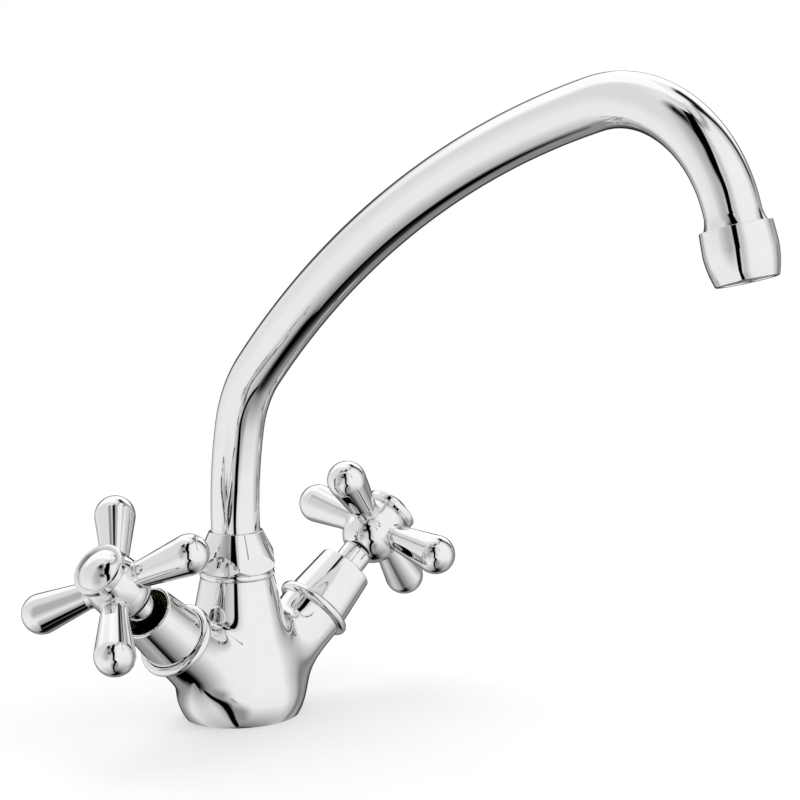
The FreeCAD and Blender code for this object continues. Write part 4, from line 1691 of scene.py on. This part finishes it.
@dataclass
class Studio:
    """A white studio: a pale floor, a room of soft light, and the camera at the photograph's angle.

    The camera's places are in millimetres, its angles in degrees, and the studio's sizes in metres.
    """

    azimuth: float = 44.3
    elevation: float = 8.7
    roll: float = -1.4
    distance: float = 1058.6
    aside: float = 61.75
    above: float = 115.27
    lens: float = 127.9
    sensor: float = 36.0
    clip_start: float = 0.05
    floor_radius: float = 1.2
    floor_fade: tuple[float, float] = (0.1, 0.4)
    floor_colour: str = "#FFFFFF"
    floor_roughness: float = 0.9
    floor_glow: float = 0.17
    opening_distance: float = 0.85
    room_light: float = 1.06

    def axes(self) -> tuple[Vector, Vector, Vector]:
        """The camera's directions before the roll.

        Returns:
            Its level right, its up and its backward direction.
        """
        e, a = math.radians(self.elevation), math.radians(self.azimuth)
        back = Vector((-math.cos(e) * math.sin(a), -math.cos(e) * math.cos(a), math.sin(e)))
        right = Vector((math.cos(a), -math.sin(a), 0))
        up = Vector((math.sin(e) * math.sin(a), math.sin(e) * math.cos(a), math.cos(e)))
        return right, up, back

    def camera(self) -> None:
        """Places the camera."""
        right, up, back = self.axes()
        roll = math.radians(self.roll)
        x_axis = right * math.cos(roll) + up * math.sin(roll)
        y_axis = up * math.cos(roll) - right * math.sin(roll)
        data = bpy.data.cameras.new("camera")
        data.lens = self.lens
        data.sensor_width = self.sensor
        data.clip_start = self.clip_start
        camera = bpy.data.objects.new("camera", data)
        bpy.context.scene.collection.objects.link(camera)
        turn = Matrix((x_axis, y_axis, back)).transposed().to_4x4()
        place = (back * self.distance + right * self.aside + up * self.above) * MM
        camera.matrix_world = Matrix.Translation(place) @ turn
        bpy.context.scene.camera = camera

    @staticmethod
    def staged(name: str, mesh: Mesh, material: bpy.types.Material) -> Piece:
        """Makes a stage object from a mesh in metres.

        Args:
            name: The object's name.
            mesh: Its shape, which is freed.
            material: Its material.

        Returns:
            The object.
        """
        data = bpy.data.meshes.new(name)
        mesh.to_mesh(data)
        mesh.free()
        data.materials.append(material)
        thing = bpy.data.objects.new(name, data)
        bpy.context.scene.collection.objects.link(thing)
        return thing

    def floor(self) -> None:
        """Lays the pale floor, which fades into the white room and which the chrome doesn't see."""
        mesh = bmesh.new()
        bmesh.ops.create_circle(mesh, cap_ends=True, segments=96, radius=self.floor_radius)
        material = bpy.data.materials.new("pale_floor")
        tree, shader = new_tree(material)
        place = add_node(tree, "ShaderNodeTexCoord").outputs["Object"]
        far = add_node(
            tree, "ShaderNodeVectorMath", {"operation": "LENGTH"}, {0: place},
        ).outputs["Value"]
        solid = add_node(tree, "ShaderNodeMapRange", {"interpolation_type": "SMOOTHSTEP"}, {
            "Value": far, "From Min": self.floor_fade[0], "From Max": self.floor_fade[1],
            "To Min": 1.0, "To Max": 0.0,
        }).outputs["Result"]
        feed(tree, shader, {
            "Base Color": linear(self.floor_colour),
            "Roughness": self.floor_roughness,
            "Specular IOR Level": 0.0,
            "Emission Color": linear(self.floor_colour),
            "Emission Strength": self.floor_glow,
            "Alpha": solid,
        })
        self.staged("floor", mesh, material).visible_glossy = False

    def opening(self) -> None:
        """Hangs the dark opening in front of the tap, where only the chrome sees it."""
        right, _, back = self.axes()
        forward = Vector((back.x, back.y, 0)).normalized() * self.opening_distance
        mesh = bmesh.new()
        cover = mesh.verts.layers.float.new("cover")
        rows = []
        for height, start, end, soft_start, soft_end in OPENING:
            row = []
            marks = ((start - soft_start, 0.0), (start, 1.0), (end, 1.0), (end + soft_end, 0.0))
            for aside, share in marks:
                vert = mesh.verts.new(forward + right * aside + Vector((0, 0, height)))
                vert[cover] = share
                row.append(vert)
            rows.append(row)
        for below, above in zip(rows, rows[1:]):
            for index in range(3):
                mesh.faces.new((below[index], below[index + 1], above[index + 1], above[index]))
        material = bpy.data.materials.new("dark_opening")
        material.use_nodes = True
        tree = material.node_tree
        tree.nodes.clear()
        share = add_node(tree, "ShaderNodeAttribute", {"attribute_name": "cover"}).outputs["Fac"]
        clear = add_node(tree, "ShaderNodeBsdfTransparent").outputs["BSDF"]
        black = {"Color": linear("#000000")}
        dark = add_node(tree, "ShaderNodeEmission", inputs=black).outputs["Emission"]
        mixed = add_node(tree, "ShaderNodeMixShader", inputs={
            0: share, 1: clear, 2: dark,
        }).outputs["Shader"]
        add_node(tree, "ShaderNodeOutputMaterial", inputs={"Surface": mixed})
        card = self.staged("dark_opening", mesh, material)
        card.visible_camera = False
        card.visible_diffuse = False
        card.visible_shadow = False
        card.visible_transmission = False

    def world(self) -> None:
        """Lights the room: white to the camera, and the room's panels to everything else."""
        world = bpy.data.worlds.new("studio")
        bpy.context.scene.world = world
        world.use_nodes = True
        tree = world.node_tree
        tree.nodes.clear()
        ray = add_node(tree, "ShaderNodeTexCoord").outputs["Generated"]
        turned = add_node(tree, "ShaderNodeVectorRotate", {"rotation_type": "Z_AXIS"}, {
            "Vector": ray, "Angle": math.radians(180 + self.azimuth),
        }).outputs["Vector"]
        parts = add_node(tree, "ShaderNodeSeparateXYZ", inputs={"Vector": turned})
        leftward = add_node(tree, "ShaderNodeMath", {"operation": "ARCTAN2"}, {
            0: parts.outputs["X"], 1: parts.outputs["Y"],
        }).outputs["Value"]
        bearing = add_node(tree, "ShaderNodeMath", {"operation": "MULTIPLY"}, {
            0: leftward, 1: -1.0,
        }).outputs["Value"]
        height = add_node(tree, "ShaderNodeMath", {"operation": "ARCSINE"}, {
            0: parts.outputs["Z"],
        }).outputs["Value"]
        light = add_node(tree, "ShaderNodeValue").outputs["Value"]
        light.default_value = self.room_light
        for panel in ROOM:
            light = self.add_panel(tree, panel, light, panel.edges(bearing, height))
        path = add_node(tree, "ShaderNodeLightPath")
        # A mix of numbers takes its share at socket 0 and its values at 2 and 3, and gives at 0.
        seen = add_node(tree, "ShaderNodeMix", {"data_type": "FLOAT"}, {
            0: path.outputs["Is Camera Ray"], 2: light, 3: 1.0,
        }).outputs[0]
        background = add_node(tree, "ShaderNodeBackground", inputs={
            "Color": linear("#FFFFFF"), "Strength": seen,
        }).outputs["Background"]
        add_node(tree, "ShaderNodeOutputWorld", inputs={"Surface": background})

    @staticmethod
    def add_panel(
        tree: Tree, panel: Panel, light: Socket, edges: Iterable[PanelEdge],
    ) -> Socket:
        """Lays one panel over the light so far.

        Args:
            tree: The world's node tree.
            panel: The panel.
            light: Brightness of what the panel covers.
            edges: The panel's edges.

        Returns:
            The brightness with the panel.
        """
        mask: Any = 1.0
        for angle, middle, soft, below in edges:
            share = add_node(tree, "ShaderNodeMapRange", inputs={
                "Value": angle,
                "From Min": math.radians(middle - soft / 2),
                "From Max": math.radians(middle + soft / 2),
                "To Min": below, "To Max": 1.0 - below,
            }).outputs["Result"]
            mask = add_node(tree, "ShaderNodeMath", {"operation": "MULTIPLY"}, {
                0: mask, 1: share,
            }).outputs["Value"]
        return add_node(tree, "ShaderNodeMix", {"data_type": "FLOAT"}, {
            0: mask, 2: light, 3: panel.light,
        }).outputs[0]

    def build(self) -> None:
        """Makes camera, floor and light."""
        self.camera()
        self.floor()
        self.opening()
        self.world()
        bpy.context.scene.view_settings.view_transform = "Standard"


def main() -> None:
    """Builds the tap's pieces and the studio."""
    logging.basicConfig(level=logging.INFO, format="%(name)s %(message)s")
    chrome = FinishKind.CHROME.value
    BodyCasting().build(chrome)
    SpoutNut().build(chrome)
    Spout().build(chrome)
    handles = {Side.HOT: CrossHandle(turn_degrees=30.5), Side.COLD: CrossHandle(turn_degrees=16.2)}
    for side, handle in handles.items():
        arm = ArmAxes(side)
        Shroud().build(arm, chrome)
        handle.build(arm, chrome)
    InnerParts().dress()
    Studio().build()


if __name__ == "__main__":
    main()
